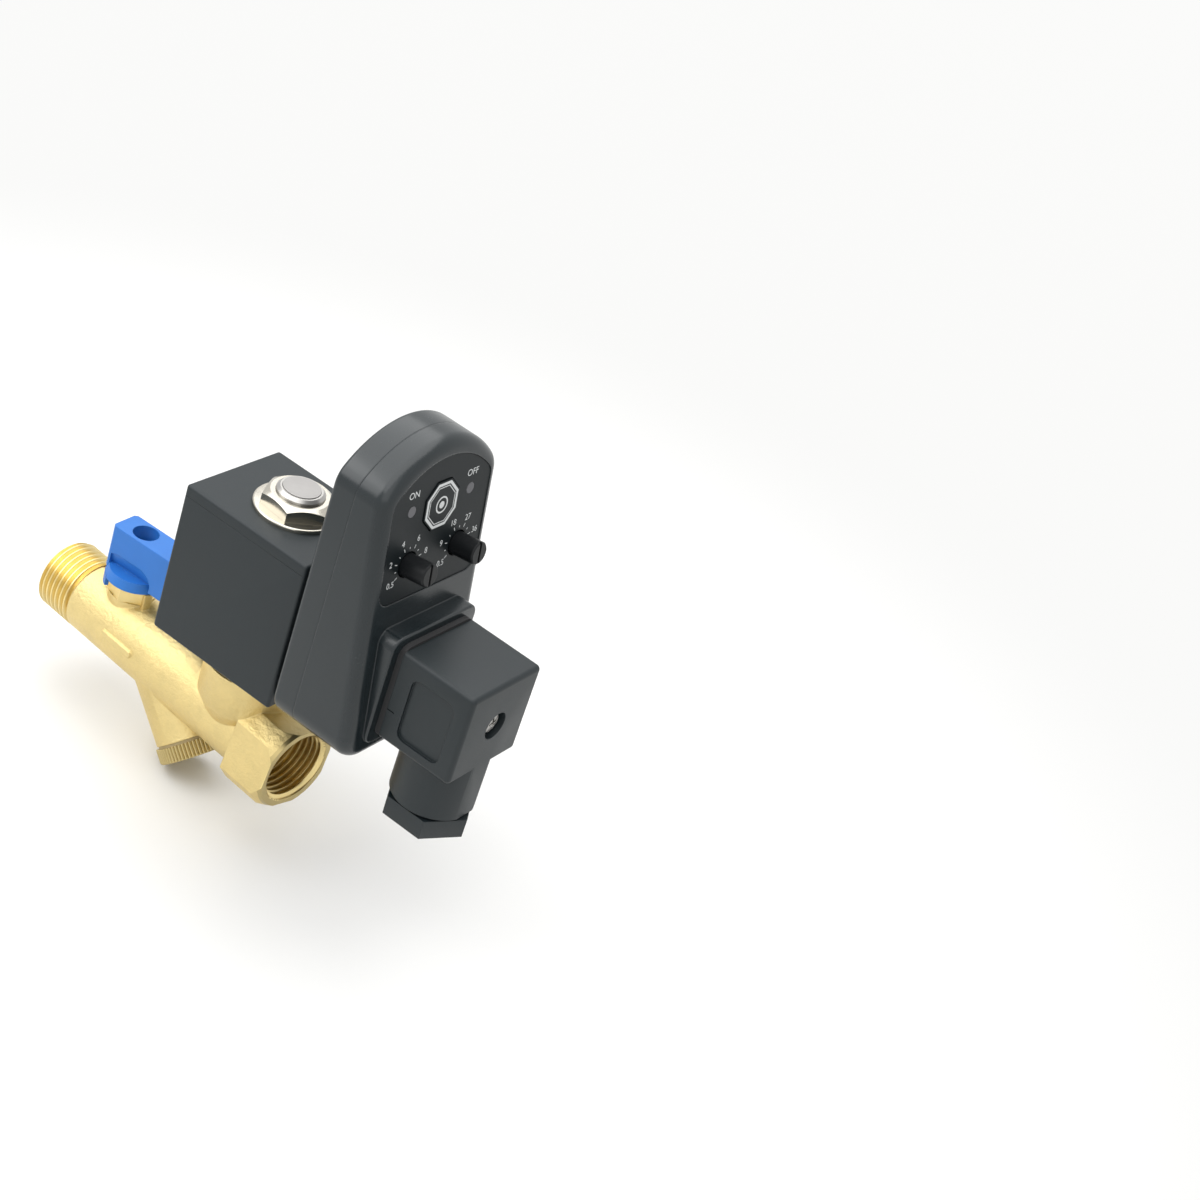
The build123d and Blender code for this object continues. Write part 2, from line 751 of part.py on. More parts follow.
def front_plane(inset=0.0):
    """The timer's sloping front, or a plane parallel to it further in."""
    slope = math.radians(timer_slope)
    normal = Vector(math.cos(slope), 0, math.sin(slope))
    origin = Vector(timer_front_x, 0, 0) - normal * inset
    return Plane(origin=origin, x_dir=(0, 1, 0), z_dir=normal)


def on_front(y, z, inset=0.0):
    """A place on the sloping front at a height, its Z axis pointing out of the panel."""
    plane = front_plane(inset)
    origin = Vector(timer_front_x - z * slope_run, y, z) - plane.z_dir * inset
    return Plane(origin=origin, x_dir=(0, 1, 0), z_dir=plane.z_dir).location


def timer_form(wall):
    """The timer's closed wedge, or the room inside it at a wall's distance."""
    sheet = arched_sheet(
        timer_half_width - wall,
        timer_bottom + wall,
        timer_top - wall,
        timer_arch_r - wall,
        timer_corner_r - wall,
    )
    start = timer_back_x + wall
    solid = extrude(Plane.YZ.offset(start) * sheet, timer_front_x)
    solid = split(solid, bisect_by=front_plane(wall), keep=Keep.BOTTOM)
    front = solid.faces().sort_by(Axis.X)[-1]
    return fillet(front.edges(), timer_front_round - wall)


def timer_boss():
    """The upright pad on the sloping front that the plug seats on."""
    low = contact_z - timer_boss_half_height
    high = contact_z + timer_boss_half_height
    slab = rounded_slab(
        timer_boss_half_width, low, high, timer_boss_corner_r, timer_seam_x + timer_wall, timer_boss_face_x
    )
    return fillet(slab.faces().sort_by(Axis.X)[-1].edges(), timer_boss_round)


def panel_sheet(inset):
    """The panel's outline on the sloping front, as a face in that plane."""
    return arched_sheet(
        panel_half_width - inset,
        panel_bottom * slope_stretch + inset,
        panel_top * slope_stretch - inset,
        panel_arch_r - inset,
        panel_corner_r - inset,
    )


def contact_holes(start, end):
    """The openings for the blades and the long screw through a timer wall."""
    holes = line_blades(start, end, blade_gap)
    return holes + Pos(0, 0, contact_z) * along_x(screw_hole_r, start, end)


def timer_rear_cover():
    """The rear half of the timer's housing, a tray with a rounded back edge."""
    whole = timer_form(0) - timer_form(timer_wall)
    tray = split(whole, bisect_by=Plane.YZ.offset(timer_seam_x), keep=Keep.BOTTOM)
    back = tray.faces().sort_by(Axis.X)[0]
    tray = fillet(back.edges(), timer_back_round)
    return coil_place * (tray - contact_holes(timer_back_x, timer_back_x + timer_wall))


def flat_octagon(corner_r):
    """A regular octagon with a flat side at the top."""
    return Rot(0, 0, octagon_phase) * RegularPolygon(corner_r, octagon_sides)


def front_openings():
    """Holes through the sloping front for the knobs, the lights and the button."""
    depth = timer_wall + cut_margin
    corner_r = (button_flats / 2 + moving_gap) / math.cos(math.pi / octagon_sides)
    key_hole = Pos(0, 0, -depth) * extrude(flat_octagon(corner_r), depth + cut_margin)
    holes = on_front(0, button_z) * key_hole
    for side in (-1, 1):
        holes += on_front(side * knob_y, knob_z) * upright(knob_hole_r, -depth, cut_margin)
        holes += on_front(side * led_y, led_z) * upright(led_r + fit_gap, -depth, cut_margin)
    return holes


def timer_front_cover():
    """The front half: sloping, with the panel's recess and the plug's boss."""
    hollow = timer_form(0) + timer_boss() - timer_form(timer_wall)
    cover = split(hollow, bisect_by=Plane.YZ.offset(timer_seam_x), keep=Keep.TOP)
    recess = extrude(front_plane(panel_recess) * panel_sheet(0), panel_recess + cut_margin)
    cover -= recess
    cover -= front_openings()
    start = timer_seam_x + timer_wall
    boss_inside = timer_boss_face_x - timer_wall
    half = contact_block_half
    cover -= block((start, boss_inside), (-half, half), (contact_z - half, contact_z + half))
    return coil_place * (cover - contact_holes(boss_inside, timer_boss_face_x))


def timer_panel():
    """The printed front plate lying in its recess."""
    plate = extrude(front_plane(panel_recess) * panel_sheet(panel_gap), panel_thickness)
    return coil_place * (plate - front_openings())


def timer_circuit_board():
    """The board behind the panel that carries the switch, the dials and the lights."""
    inset = timer_wall + board_margin
    sheet = arched_sheet(
        timer_half_width - inset,
        board_bottom_z * slope_stretch,
        timer_top - inset,
        timer_arch_r - inset,
        timer_corner_r - inset,
    )
    return coil_place * extrude(front_plane(board_setback) * sheet, board_thickness)


def timer_contact_block():
    """The moulded block that joins the coil's blades to the plug's."""
    half = contact_block_half - fit_gap
    x_range = (timer_back_x + timer_wall, timer_boss_face_x - timer_wall)
    body = block(x_range, (-half, half), (contact_z - half, contact_z + half))
    body -= line_blades(x_range[0], gasket_face_x + coil_blade_reach + blade_gap, blade_gap)
    body -= line_blades(x_range[1] - blade_seat_length, x_range[1], fit_gap)
    return coil_place * (body - Pos(0, 0, contact_z) * along_x(screw_hole_r, *x_range))


def timer_blades():
    start = timer_boss_face_x - timer_wall - blade_seat_length
    return coil_place * line_blades(start, plug_back_x + timer_blade_reach)


def potentiometers():
    """The two dial resistors on the board, behind the knobs."""
    low = -board_face + board_thickness / 2
    body = Pos(0, 0, low) * Box(pot_size, pot_size, pot_depth, align=low_middle)
    body -= upright(knob_spindle_r + running_gap, low, low + pot_depth)
    pots = [coil_place * on_front(side * knob_y, knob_z) * body for side in (-1, 1)]
    return Compound(children=[pot.solid() for pot in pots])


def test_switch():
    """The push switch on the board behind the button."""
    low = -board_face + board_thickness / 2
    body = Pos(0, 0, low) * Box(switch_size, switch_size, switch_depth, align=low_middle)
    return coil_place * on_front(0, button_z) * body


def test_button():
    """The octagonal key: its face stands just proud of the panel."""
    face = -panel_recess + panel_thickness + button_proud
    flange_top = -timer_wall - fit_gap
    flange_low = flange_top - button_flange_height
    corner_r = button_flats / 2 / math.cos(math.pi / octagon_sides)
    octagon = flat_octagon(corner_r)
    key = Pos(0, 0, flange_low) * extrude(octagon, face - flange_low)
    key += Pos(0, 0, flange_low) * extrude(offset(octagon, button_flange), button_flange_height)
    stem_low = -board_face + board_thickness / 2 + switch_depth + button_travel + moving_gap
    key += upright(button_stem_r, stem_low, flange_low)
    return coil_place * on_front(0, button_z) * key


def status_light(side):
    """A clear light pipe ending flush with the panel."""
    top = -panel_recess + panel_thickness
    return coil_place * on_front(side * led_y, led_z) * upright(led_r, top - led_length, top)


def time_knob(side):
    """A slotted round knob on the dial's spindle."""
    panel_face = -panel_recess + panel_thickness
    shoulder = -board_face + board_thickness / 2 + pot_depth + fit_gap
    tip = panel_face + knob_length
    body = upright(knob_r, shoulder, tip)
    body = chamfer(body.edges().group_by(Axis.Z)[-1], knob_edge_chamfer)
    slot_half = knob_slot_width / 2
    body -= block((-slot_half, slot_half), (-knob_r, knob_r), (tip - knob_slot_depth, tip))
    body += upright(knob_spindle_r, -board_face + board_thickness / 2 + fit_gap, shoulder)
    return coil_place * on_front(side * knob_y, knob_z) * body


def plug_gasket():
    half = plug_half_width
    start = timer_boss_face_x
    slab = rounded_slab(half, contact_z - half, contact_z + half, gasket_corner_r, start, plug_back_x)
    return coil_place * (slab - contact_holes(start, plug_back_x))


def plug_window(side):
    """A bare recess in one side of the plug."""
    low_x = plug_back_x + plug_window_back
    centre = (low_x + plug_window_width / 2, plug_bottom + plug_window_bottom + plug_window_height / 2)
    sheet = Pos(*centre) * RectangleRounded(plug_window_width, plug_window_height, plug_window_corner_r)
    pocket = extrude(Plane.XZ * sheet, plug_window_depth, both=True)
    return Pos(0, side * plug_half_width, 0) * pocket


def plug_housing():
    """The square connector shell with its round neck for the cable."""
    half = plug_half_width
    shell = block((plug_back_x, plug_front_x), (-half, half), (plug_bottom, plug_top))
    outer_edges = shell.edges() - shell.faces().sort_by(Axis.X)[0].edges()
    shell = fillet(outer_edges, plug_edge_round)
    neck = Pos(plug_neck_x, 0, 0) * upright(plug_neck_r, plug_neck_bottom, plug_bottom + plug_edge_round * 2)
    neck_x = (plug_back_x + cut_margin, plug_front_x)
    shell += neck & block(neck_x, (-half, half), (plug_neck_bottom, plug_top))
    room = terminal_block_half + fit_gap
    cavity = block((plug_back_x, plug_front_inside), (-room, room), (contact_z - room, contact_z + room))
    shell -= cavity
    bore_top = contact_z - room + cut_margin
    shell -= Pos(plug_neck_x, 0, 0) * upright(plug_neck_bore_r, plug_neck_bottom, bore_top)
    shell -= Pos(0, 0, contact_z) * along_x(screw_hole_r, plug_front_inside - cut_margin, plug_front_x)
    shell -= Pos(0, 0, contact_z) * along_x(plug_recess_r, plug_front_x - plug_recess_depth, plug_front_x)
    for side in (-1, 1):
        shell -= plug_window(side)
    return coil_place * shell


def plug_terminal_block():
    """The insert that takes the blades and carries the cable's clamps."""
    half = terminal_block_half
    x_range = (plug_back_x, plug_front_inside - terminal_block_gap)
    insert = block(x_range, (-half, half), (contact_z - half, contact_z + half))
    slot_end = plug_back_x + timer_blade_reach + blade_gap
    insert -= line_blades(plug_back_x, slot_end, blade_gap)
    insert -= contact_pockets(slot_end, fit_gap)
    return coil_place * (insert - Pos(0, 0, contact_z) * along_x(screw_hole_r, *x_range))


def contact_pockets(start, gap):
    """The three clamps behind the blades, or the pockets that hold them."""
    half = plug_contact_size / 2 + gap
    end = start + plug_contact_length + gap
    inward = plug_contact_size / 4
    places = [
        (line_blade_y - inward, contact_z),
        (inward - line_blade_y, contact_z),
        (0, contact_z - earth_blade_drop + inward),
    ]
    clamps = Sketch()
    for y, z in places:
        clamps += Pos(y, z) * Rectangle(2 * half, 2 * half)
    return extrude(Plane.YZ.offset(start) * clamps, end - start)


def plug_contacts():
    start = plug_back_x + timer_blade_reach + blade_gap
    return coil_place * contact_pockets(start + fit_gap, 0)


def plug_screw():
    """The long screw through the plug and the timer into the coil."""
    seat = plug_front_x - plug_recess_depth
    head = along_x(plug_screw_head_r, seat, seat + plug_screw_head_height)
    head = fillet(head.edges().group_by(Axis.X)[-1], plug_screw_head_height / 4)
    shank = along_x(screw_r, plug_screw_end_x, seat)
    return coil_place * Pos(0, 0, contact_z) * (head + shank)


def gland_nut():
    """The hexagonal cable nut screwed into the neck."""
    high = plug_neck_bottom - gland_collar_height
    low = high - gland_height
    nut = turned_prism(gland_flats, 6, low, high, gland_edge_chamfer, 0)
    nut += upright(gland_collar_r, high, plug_neck_bottom)
    nut += upright(plug_neck_bore_r - fit_gap, plug_neck_bottom, plug_neck_bottom + gland_spigot_length)
    nut -= upright(gland_bore_r, low, plug_neck_bottom + gland_spigot_length)
    return coil_place * Pos(plug_neck_x, 0, 0) * nut


def gland_washer():
    low = plug_neck_bottom + gland_spigot_length
    high = low + gland_washer_height
    ring = upright(plug_neck_bore_r - fit_gap, low, high) - upright(gland_bore_r, low, high)
    return coil_place * Pos(plug_neck_x, 0, 0) * ring


def gland_grommet():
    """The tapered rubber ring that grips the cable."""
    low = plug_neck_bottom + gland_spigot_length + gland_washer_height
    wide_r = plug_neck_bore_r - fit_gap
    ring = Pos(0, 0, low) * Cone(wide_r, wide_r - grommet_taper, grommet_height, align=low_middle)
    return coil_place * Pos(plug_neck_x, 0, 0) * (ring - upright(grommet_bore_r, low, low + grommet_height))


nodes = {
    "valve_body": valve_body(),
    "ball_retainer": ball_retainer(),
    "ball_seats": ball_seats(),
    "valve_ball": valve_ball(),
    "valve_stem": valve_stem(),
    "stem_packing": stem_packing(),
    "stem_gland_nut": stem_gland_nut(),
    "lever": lever(),
    "lever_screw": lever_screw(),
    "strainer_screen": strainer_screen(),
    "strainer_gasket": strainer_gasket(),
    "strainer_cap": strainer_cap(),
    "core_tube": core_tube(),
    "tube_o_ring": tube_o_ring(),
    "fixed_core": fixed_core(),
    "shading_ring": shading_ring(),
    "plunger": plunger(),
    "plunger_seal": plunger_seal(),
    "plunger_spring": plunger_spring(),
    "coil_housing": coil_housing(),
    "coil_bobbin": coil_bobbin(),
    "coil_winding": coil_winding(),
    "coil_yoke": coil_yoke(),
    "coil_terminals": coil_terminals(),
    "coil_washer": coil_washer(),
    "coil_nut": coil_nut(),
    "timer_gasket": timer_gasket(),
    "timer_rear_cover": timer_rear_cover(),
    "timer_front_cover": timer_front_cover(),
    "timer_panel": timer_panel(),
    "timer_circuit_board": timer_circuit_board(),
    "timer_contact_block": timer_contact_block(),
    "timer_blades": timer_blades(),
    "potentiometers": potentiometers(),
    "test_switch": test_switch(),
    "test_button": test_button(),
    "on_led": status_light(-1),
    "off_led": status_light(1),
    "on_time_knob": time_knob(-1),
    "off_time_knob": time_knob(1),
    "plug_gasket": plug_gasket(),
    "plug_housing": plug_housing(),
    "plug_terminal_block": plug_terminal_block(),
    "plug_contacts": plug_contacts(),
    "plug_screw": plug_screw(),
    "gland_nut": gland_nut(),
    "gland_washer": gland_washer(),
    "gland_grommet": gland_grommet(),
}

for name, shape in nodes.items():
    export_step(shape, f"parts/{name}.step")
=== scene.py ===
import json
import math

import bmesh
import bpy
from bpy.props import FloatProperty, FloatVectorProperty, PointerProperty
from mathutils import Matrix, Vector


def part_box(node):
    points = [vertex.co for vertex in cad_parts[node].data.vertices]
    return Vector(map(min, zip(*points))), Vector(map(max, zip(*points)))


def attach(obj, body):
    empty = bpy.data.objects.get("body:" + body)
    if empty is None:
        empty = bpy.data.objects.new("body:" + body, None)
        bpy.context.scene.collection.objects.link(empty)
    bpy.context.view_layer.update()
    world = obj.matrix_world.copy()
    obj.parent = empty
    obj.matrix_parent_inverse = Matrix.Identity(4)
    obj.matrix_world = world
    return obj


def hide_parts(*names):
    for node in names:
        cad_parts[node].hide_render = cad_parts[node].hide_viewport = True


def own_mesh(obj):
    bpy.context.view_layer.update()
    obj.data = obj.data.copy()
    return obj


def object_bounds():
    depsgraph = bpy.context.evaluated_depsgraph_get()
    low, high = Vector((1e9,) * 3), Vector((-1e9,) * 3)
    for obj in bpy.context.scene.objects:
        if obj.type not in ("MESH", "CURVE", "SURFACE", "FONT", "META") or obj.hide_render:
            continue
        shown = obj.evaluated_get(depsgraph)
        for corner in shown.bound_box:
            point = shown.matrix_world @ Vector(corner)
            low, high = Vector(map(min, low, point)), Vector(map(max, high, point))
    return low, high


bl_info = {
    "name": "Automatic drain valve",
    "version": (1, 0, 0),
    "blender": (4, 5, 0),
    "location": "View3D > Sidebar > Drain valve",
    "description": "Dresses the packed drain valve: threads, finishes, the timer's print and the studio",
    "category": "Object",
}

MM = 0.001
TURN = 2 * math.pi

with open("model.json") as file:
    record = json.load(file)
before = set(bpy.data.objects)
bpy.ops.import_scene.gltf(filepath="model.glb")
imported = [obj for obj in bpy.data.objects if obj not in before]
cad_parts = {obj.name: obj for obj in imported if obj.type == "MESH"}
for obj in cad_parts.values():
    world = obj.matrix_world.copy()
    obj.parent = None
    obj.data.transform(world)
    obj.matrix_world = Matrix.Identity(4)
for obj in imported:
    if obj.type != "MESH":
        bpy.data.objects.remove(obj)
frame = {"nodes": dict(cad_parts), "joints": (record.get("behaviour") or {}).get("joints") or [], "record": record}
cad_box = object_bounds()
nodes = frame["nodes"]
bodies = frame["record"]["behaviour"]["bodies"]
node_body = {node: body for body, group in bodies.items() for node in group}
node_slot = {row["node"]: row["material_slot"] for row in frame["record"]["subparts"]}
joints = {joint["name"]: joint for joint in frame["joints"]}
finishes = {}


def length(name, description, default):
    """A property for a size, in metres."""
    return FloatProperty(name=name, description=description, default=default, unit="LENGTH", precision=5)


def colour(name, description, default):
    """A property for a linear colour."""
    return FloatVectorProperty(name=name, description=description, default=default, subtype="COLOR")


class ThreadSizes(bpy.types.PropertyGroup):
    """The two G 1/2 threads of the brass body."""

    pitch: length("Pitch", "Distance from one crest to the next", 1.814 * MM)
    outer: length("Outer radius", "Male crest and female root", 10.4775 * MM)
    inner: length("Inner radius", "Male root and female crest", 9.3155 * MM)
    flat: length("Crest flat", "Width left flat on each crest", 0.3 * MM)
    male_length: length("Male length", "Thread at the inlet, up to its undercut", 12.7 * MM)
    female_length: length("Female length", "Thread inside the outlet", 13.2 * MM)
    lead_in: length("Lead-in", "Chamfer on the first male crest", 0.9 * MM)


class PanelSizes(bpy.types.PropertyGroup):
    """The print on the timer's sloping panel."""

    face_depth: length("Face depth", "Panel's printed face below the housing's front", 0.2 * MM)
    ink: length("Ink", "How far the print stands off the plate", 0.02 * MM)
    digit_height: length("Digits", "Height of the dial's numbers", 2.35 * MM)
    word_height: length("Words", "Height of ON and OFF", 2.6 * MM)
    digit_radius: length("Digit circle", "Radius of the circle of numbers", 7.0 * MM)
    tick_start: length("Tick start", "Inner radius of the dial's ticks", 4.3 * MM)
    tick_length: length("Tick", "Length of a dial's long tick", 1.0 * MM)
    line: length("Line", "Width of a printed line", 0.22 * MM)
    word_rise: length("Word rise", "Height of ON and OFF above their lights", 4.4 * MM)
    key_flats: length("Key ring", "Width over the flats of the key's outer ring", 12.0 * MM)
    key_ring: length("Key ring width", "Width of the key's outer ring", 0.75 * MM)
    key_gap: length("Key gap", "Gap between the key's two rings", 0.35 * MM)
    key_symbol: length("Key symbol", "Radius of the press symbol", 2.3 * MM)


class ScrewSizes(bpy.types.PropertyGroup):
    """The cross recess in the two visible screws."""

    lever_span: length("Lever recess", "Width of the cross in the lever's screw", 3.2 * MM)
    plug_span: length("Plug recess", "Width of the cross in the plug's screw", 3.8 * MM)
    slot: length("Slot", "Width of one slot of the cross", 0.85 * MM)
    depth: length("Depth", "Depth of the cross", 1.1 * MM)


class SeamSizes(bpy.types.PropertyGroup):
    """The fine seam round the coil's block, and the latch slits in the plug's sides."""

    drop: length("Drop", "Depth of the seam below the block's top", 3.0 * MM)
    width: length("Width", "Width of the seam", 0.22 * MM)
    depth: length("Depth", "How deep the seam is scored", 0.10 * MM)
    latch_drop: length("Latch drop", "Depth of the slits below the plug's top", 17.3 * MM)
    latch_length: length("Latch length", "Length of a slit from the plug's back edge", 2.3 * MM)
    latch_width: length("Latch width", "Height of a slit", 0.3 * MM)
    latch_depth: length("Latch depth", "How deep a slit is", 0.5 * MM)


class WebSizes(bpy.types.PropertyGroup):
    """The tapering web that closes the hollow between the lever's arm and its ring."""

    turn: FloatProperty(name="Lever's turn", default=math.radians(8), subtype="ANGLE")
    top_drop: length("Top drop", "Depth of the web's top below the lever's top", 7.85 * MM)
    height: length("Height", "Height of the web, down into the ring", 3.9 * MM)
    back: length("Back", "Reach of the web behind the stem", 6.6 * MM)
    front: length("Front", "Reach of the web before the stem", 9.6 * MM)
    top_half: length("Top half", "Half of the web's width under the arm", 4.55 * MM)
    foot_half: length("Foot half", "Half of the web's width on the ring", 3.3 * MM)
    neck_reach: length("Neck reach", "Half of the length over which the neck is trimmed", 4.6 * MM)
    trim: length("Trim", "How far the neck is trimmed behind the web's face", 0.05 * MM)
    tab_start: FloatProperty(name="Tab start", default=math.radians(194), subtype="ANGLE")
    tab_end: FloatProperty(name="Tab end", default=math.radians(240), subtype="ANGLE")
    tab_inner: length("Tab inner", "Inner radius of the tab under the ring", 7.45 * MM)
    tab_outer: length("Tab outer", "Outer radius of the tab under the ring", 8.58 * MM)
    tab_low: length("Tab low", "Height of the tab's lower edge over the pipe's axis", 12.8 * MM)
    tab_high: length("Tab high", "Height of the tab's upper end, inside the ring", 15.9 * MM)


class PadSizes(bpy.types.PropertyGroup):
    """The long raised pad that is cast on the pipe's near side."""

    start: length("Start", "Where the pad begins along the pipe", 27.4 * MM)
    end: length("End", "Where the pad ends along the pipe", 40.4 * MM)
    middle: length("Middle", "Height of the pad's middle over the axis", 1.3 * MM)
    half: length("Half", "Half of the pad's height at its foot", 1.35 * MM)
    foot: length("Foot", "Distance of the pad's foot from the pipe's axis", 9.6 * MM)
    face: length("Face", "Distance of the pad's face from the pipe's axis", 10.85 * MM)
    slope: length("Slope", "How far the pad's sides lean in", 0.45 * MM)


class GlandSizes(bpy.types.PropertyGroup):
    """The hexagonal cable nut, whose corners are nearly sharp."""

    corner: length("Corner", "Radius over the corners", 12.12 * MM)
    hexagon: length("Hexagon", "Height of the hexagon", 5.8 * MM)
    collar: length("Collar", "Radius of the collar above the hexagon", 9.6 * MM)
    collar_height: length("Collar height", "Height of the collar", 0.8 * MM)
    spigot: length("Spigot", "Radius of the spigot in the neck", 7.95 * MM)
    bore: length("Bore", "Radius of the cable's way", 5.0 * MM)
    edge: length("Edge", "Rounding of the lower edge", 0.35 * MM)
    overlap: length("Overlap", "How far joined parts reach into each other", 0.4 * MM)


class FinishColours(bpy.types.PropertyGroup):
    """Colours that a repaint would change, as linear values."""

    brass: colour("Brass", "Turned and cast brass", (0.79, 0.63, 0.29))
    blue: colour("Blue", "The lever's plastic", (0.024, 0.165, 0.54))
    slate: colour("Slate", "Coil, timer and plug plastic", (0.0105, 0.0160, 0.0185))
    print: colour("Print", "The panel's ink", (0.72, 0.74, 0.74))
    floor: colour("Floor", "The studio's floor and background", (0.81, 0.81, 0.80))


class StageSettings(bpy.types.PropertyGroup):
    """The studio: where the camera and the lamps stand."""

    camera_place: FloatVectorProperty(
        name="Camera",
        description="The camera's place",
        default=(0.39344, -0.38980, 0.37121),
        unit="LENGTH",
    )
    camera_forward: FloatVectorProperty(
        name="Forward", description="The camera's line of sight", default=(-0.4320, 0.7419, -0.5130)
    )
    camera_up: FloatVectorProperty(
        name="Up", description="The camera's upright direction", default=(-0.5393, 0.2431, 0.8060)
    )
    lens: FloatProperty(name="Lens", description="Focal length on a 36 mm sensor, in mm", default=69.0)
    floor_size: length("Floor", "Side of the square floor", 8.0)
    fade_start: length("Fade start", "Distance where the floor starts to glow evenly", 0.10)
    fade_end: length("Fade end", "Distance where the floor is as even as the background", 0.38)
    world: FloatProperty(name="Sky", description="Strength of the even surround", default=0.54)
    background: FloatProperty(name="Background", description="Brightness behind", default=0.94)


class Value:
    """A shader socket that arithmetic can be written with."""

    def __init__(self, shader, socket):
        self.shader = shader
        self.socket = socket

    def combine(self, operation, first, second=0.0):
        return self.shader.add("ShaderNodeMath", {"operation": operation}, {0: first, 1: second})

    def __add__(self, other):
        return self.combine("ADD", self, other)

    def __sub__(self, other):
        return self.combine("SUBTRACT", self, other)

    def __mul__(self, other):
        return self.combine("MULTIPLY", self, other)

    def __gt__(self, other):
        return self.combine("GREATER_THAN", self, other)


class Shader:
    """One material, whose nodes are added by one call each."""

    def __init__(self, name):
        self.name = name
        self.material = bpy.data.materials.new(name)
        self.material.use_nodes = True
        self.tree = self.material.node_tree
        self.tree.nodes.clear()

    @classmethod
    def of_tree(cls, tree):
        """The same calls for a node tree that exists, such as the world's."""
        shader = cls.__new__(cls)
        shader.tree = tree
        tree.nodes.clear()
        return shader

    def add(self, kind, settings=None, inputs=None, output=0):
        """Adds a node, sets it, feeds its sockets and returns one of its outputs."""
        node = self.tree.nodes.new(kind)
        for key, value in (settings or {}).items():
            setattr(node, key, value)
        for key, value in (inputs or {}).items():
            if isinstance(value, Value):
                self.tree.links.new(value.socket, node.inputs[key])
            else:
                node.inputs[key].default_value = value
        return Value(self, node.outputs[output])

    def place(self):
        return self.add("ShaderNodeTexCoord", output="Object")

    def noise(self, size, detail=2.0, roughness=0.5):
        """Noise whose features are about size metres across."""
        inputs = {"Vector": self.place(), "Scale": 1 / size, "Detail": detail, "Roughness": roughness}
        return self.add("ShaderNodeTexNoise", inputs=inputs)

    def cells(self, size):
        """Round pits about size metres apart."""
        return self.add("ShaderNodeTexVoronoi", inputs={"Vector": self.place(), "Scale": 1 / size})

    def mix(self, share, first, second):
        """A colour between two, by a share from 0 to 1."""
        colours = {0: share, 6: tuple(first) + (1.0,), 7: tuple(second) + (1.0,)}
        return self.add("ShaderNodeMix", {"data_type": "RGBA"}, colours, output=2)

    def spread(self, value, low, high):
        """Value, from 0 to 1, moved to run from low to high."""
        return value * (high - low) + low

    def bump(self, height, depth, strength=1.0, normal=None):
        inputs = {"Height": height, "Distance": depth, "Strength": strength}
        if normal is not None:
            inputs["Normal"] = normal
        return self.add("ShaderNodeBump", inputs=inputs)

    def soft_edges(self, radius):
        """Normals that round every edge by a small radius."""
        return self.add("ShaderNodeBevel", {"samples": 6}, {"Radius": radius})

    def finish(self, inputs):
        """The surface itself, and the finished material, kept under its name."""
        surface = self.add("ShaderNodeBsdfPrincipled", inputs=inputs)
        output = self.tree.nodes.new("ShaderNodeOutputMaterial")
        self.tree.links.new(surface.socket, output.inputs["Surface"])
        finishes[self.name] = self.material
        return self.material


def shades(tone, darker, lighter):
    """A darker and a lighter form of a colour."""
    return [c * darker for c in tone], [min(c * lighter, 1.0) for c in tone]


def moulded(name, tone, gloss, grain, depth, edge=0.25 * MM, shine=0.4):
    """Moulded plastic with an eroded grain and slightly uneven shine."""
    shader = Shader(name)
    dark, light = shades(tone, 0.88, 1.12)
    wide = shader.noise(9 * MM, 3.0)
    fine = shader.noise(grain, 3.0, 0.6)
    normal = shader.bump(fine, depth, 0.6, shader.soft_edges(edge))
    return shader.finish({
        "Base Color": shader.mix(wide, dark, light),
        "Roughness": shader.spread(wide * 0.5 + fine * 0.5, gloss - 0.06, gloss + 0.08),
        "Specular IOR Level": shine,
        "Normal": normal,
    })


def turned_metal(name, tone, gloss, grain=0.25 * MM, depth=0.006 * MM, edge=0.15 * MM, stain=0.85):
    """Machined metal: fine grain, faint stains and bright soft edges."""
    shader = Shader(name)
    dark, light = shades(tone, stain, 1.06)
    wide = shader.noise(4 * MM, 4.0, 0.6)
    fine = shader.noise(grain, 2.0)
    return shader.finish({
        "Base Color": shader.mix(wide, dark, light),
        "Metallic": 1.0,
        "Roughness": shader.spread(wide * 0.6 + fine * 0.4, gloss - 0.07, gloss + 0.09),
        "Normal": shader.bump(fine, depth, 0.7, shader.soft_edges(edge)),
    })


def cast_metal(name, tone):
    """Sand-cast and tumbled brass: rough grains, shallow dents and darker hollows."""
    shader = Shader(name)
    dark, light = shades(tone, 0.72, 1.08)
    wide = shader.noise(7 * MM, 4.0, 0.6)
    sand = shader.noise(1.1 * MM, 5.0, 0.7)
    dents = shader.cells(2.4 * MM)
    relief = sand * 0.75 + dents * 0.25 + wide * 0.6
    return shader.finish({
        "Base Color": shader.mix(wide * 0.6 + sand * 0.4, dark, light),
        "Metallic": 1.0,
        "Roughness": shader.spread(sand * 0.5 + wide * 0.5, 0.34, 0.54),
        "Normal": shader.bump(relief, 0.40 * MM, 0.9, shader.soft_edges(0.5 * MM)),
    })


def rubber(name, tone):
    shader = Shader(name)
    dark, light = shades(tone, 0.8, 1.3)
    fine = shader.noise(0.3 * MM, 3.0)
    return shader.finish({
        "Base Color": shader.mix(fine, dark, light),
        "Roughness": shader.spread(fine, 0.62, 0.82),
        "Normal": shader.bump(fine, 0.02 * MM, 0.5),
    })


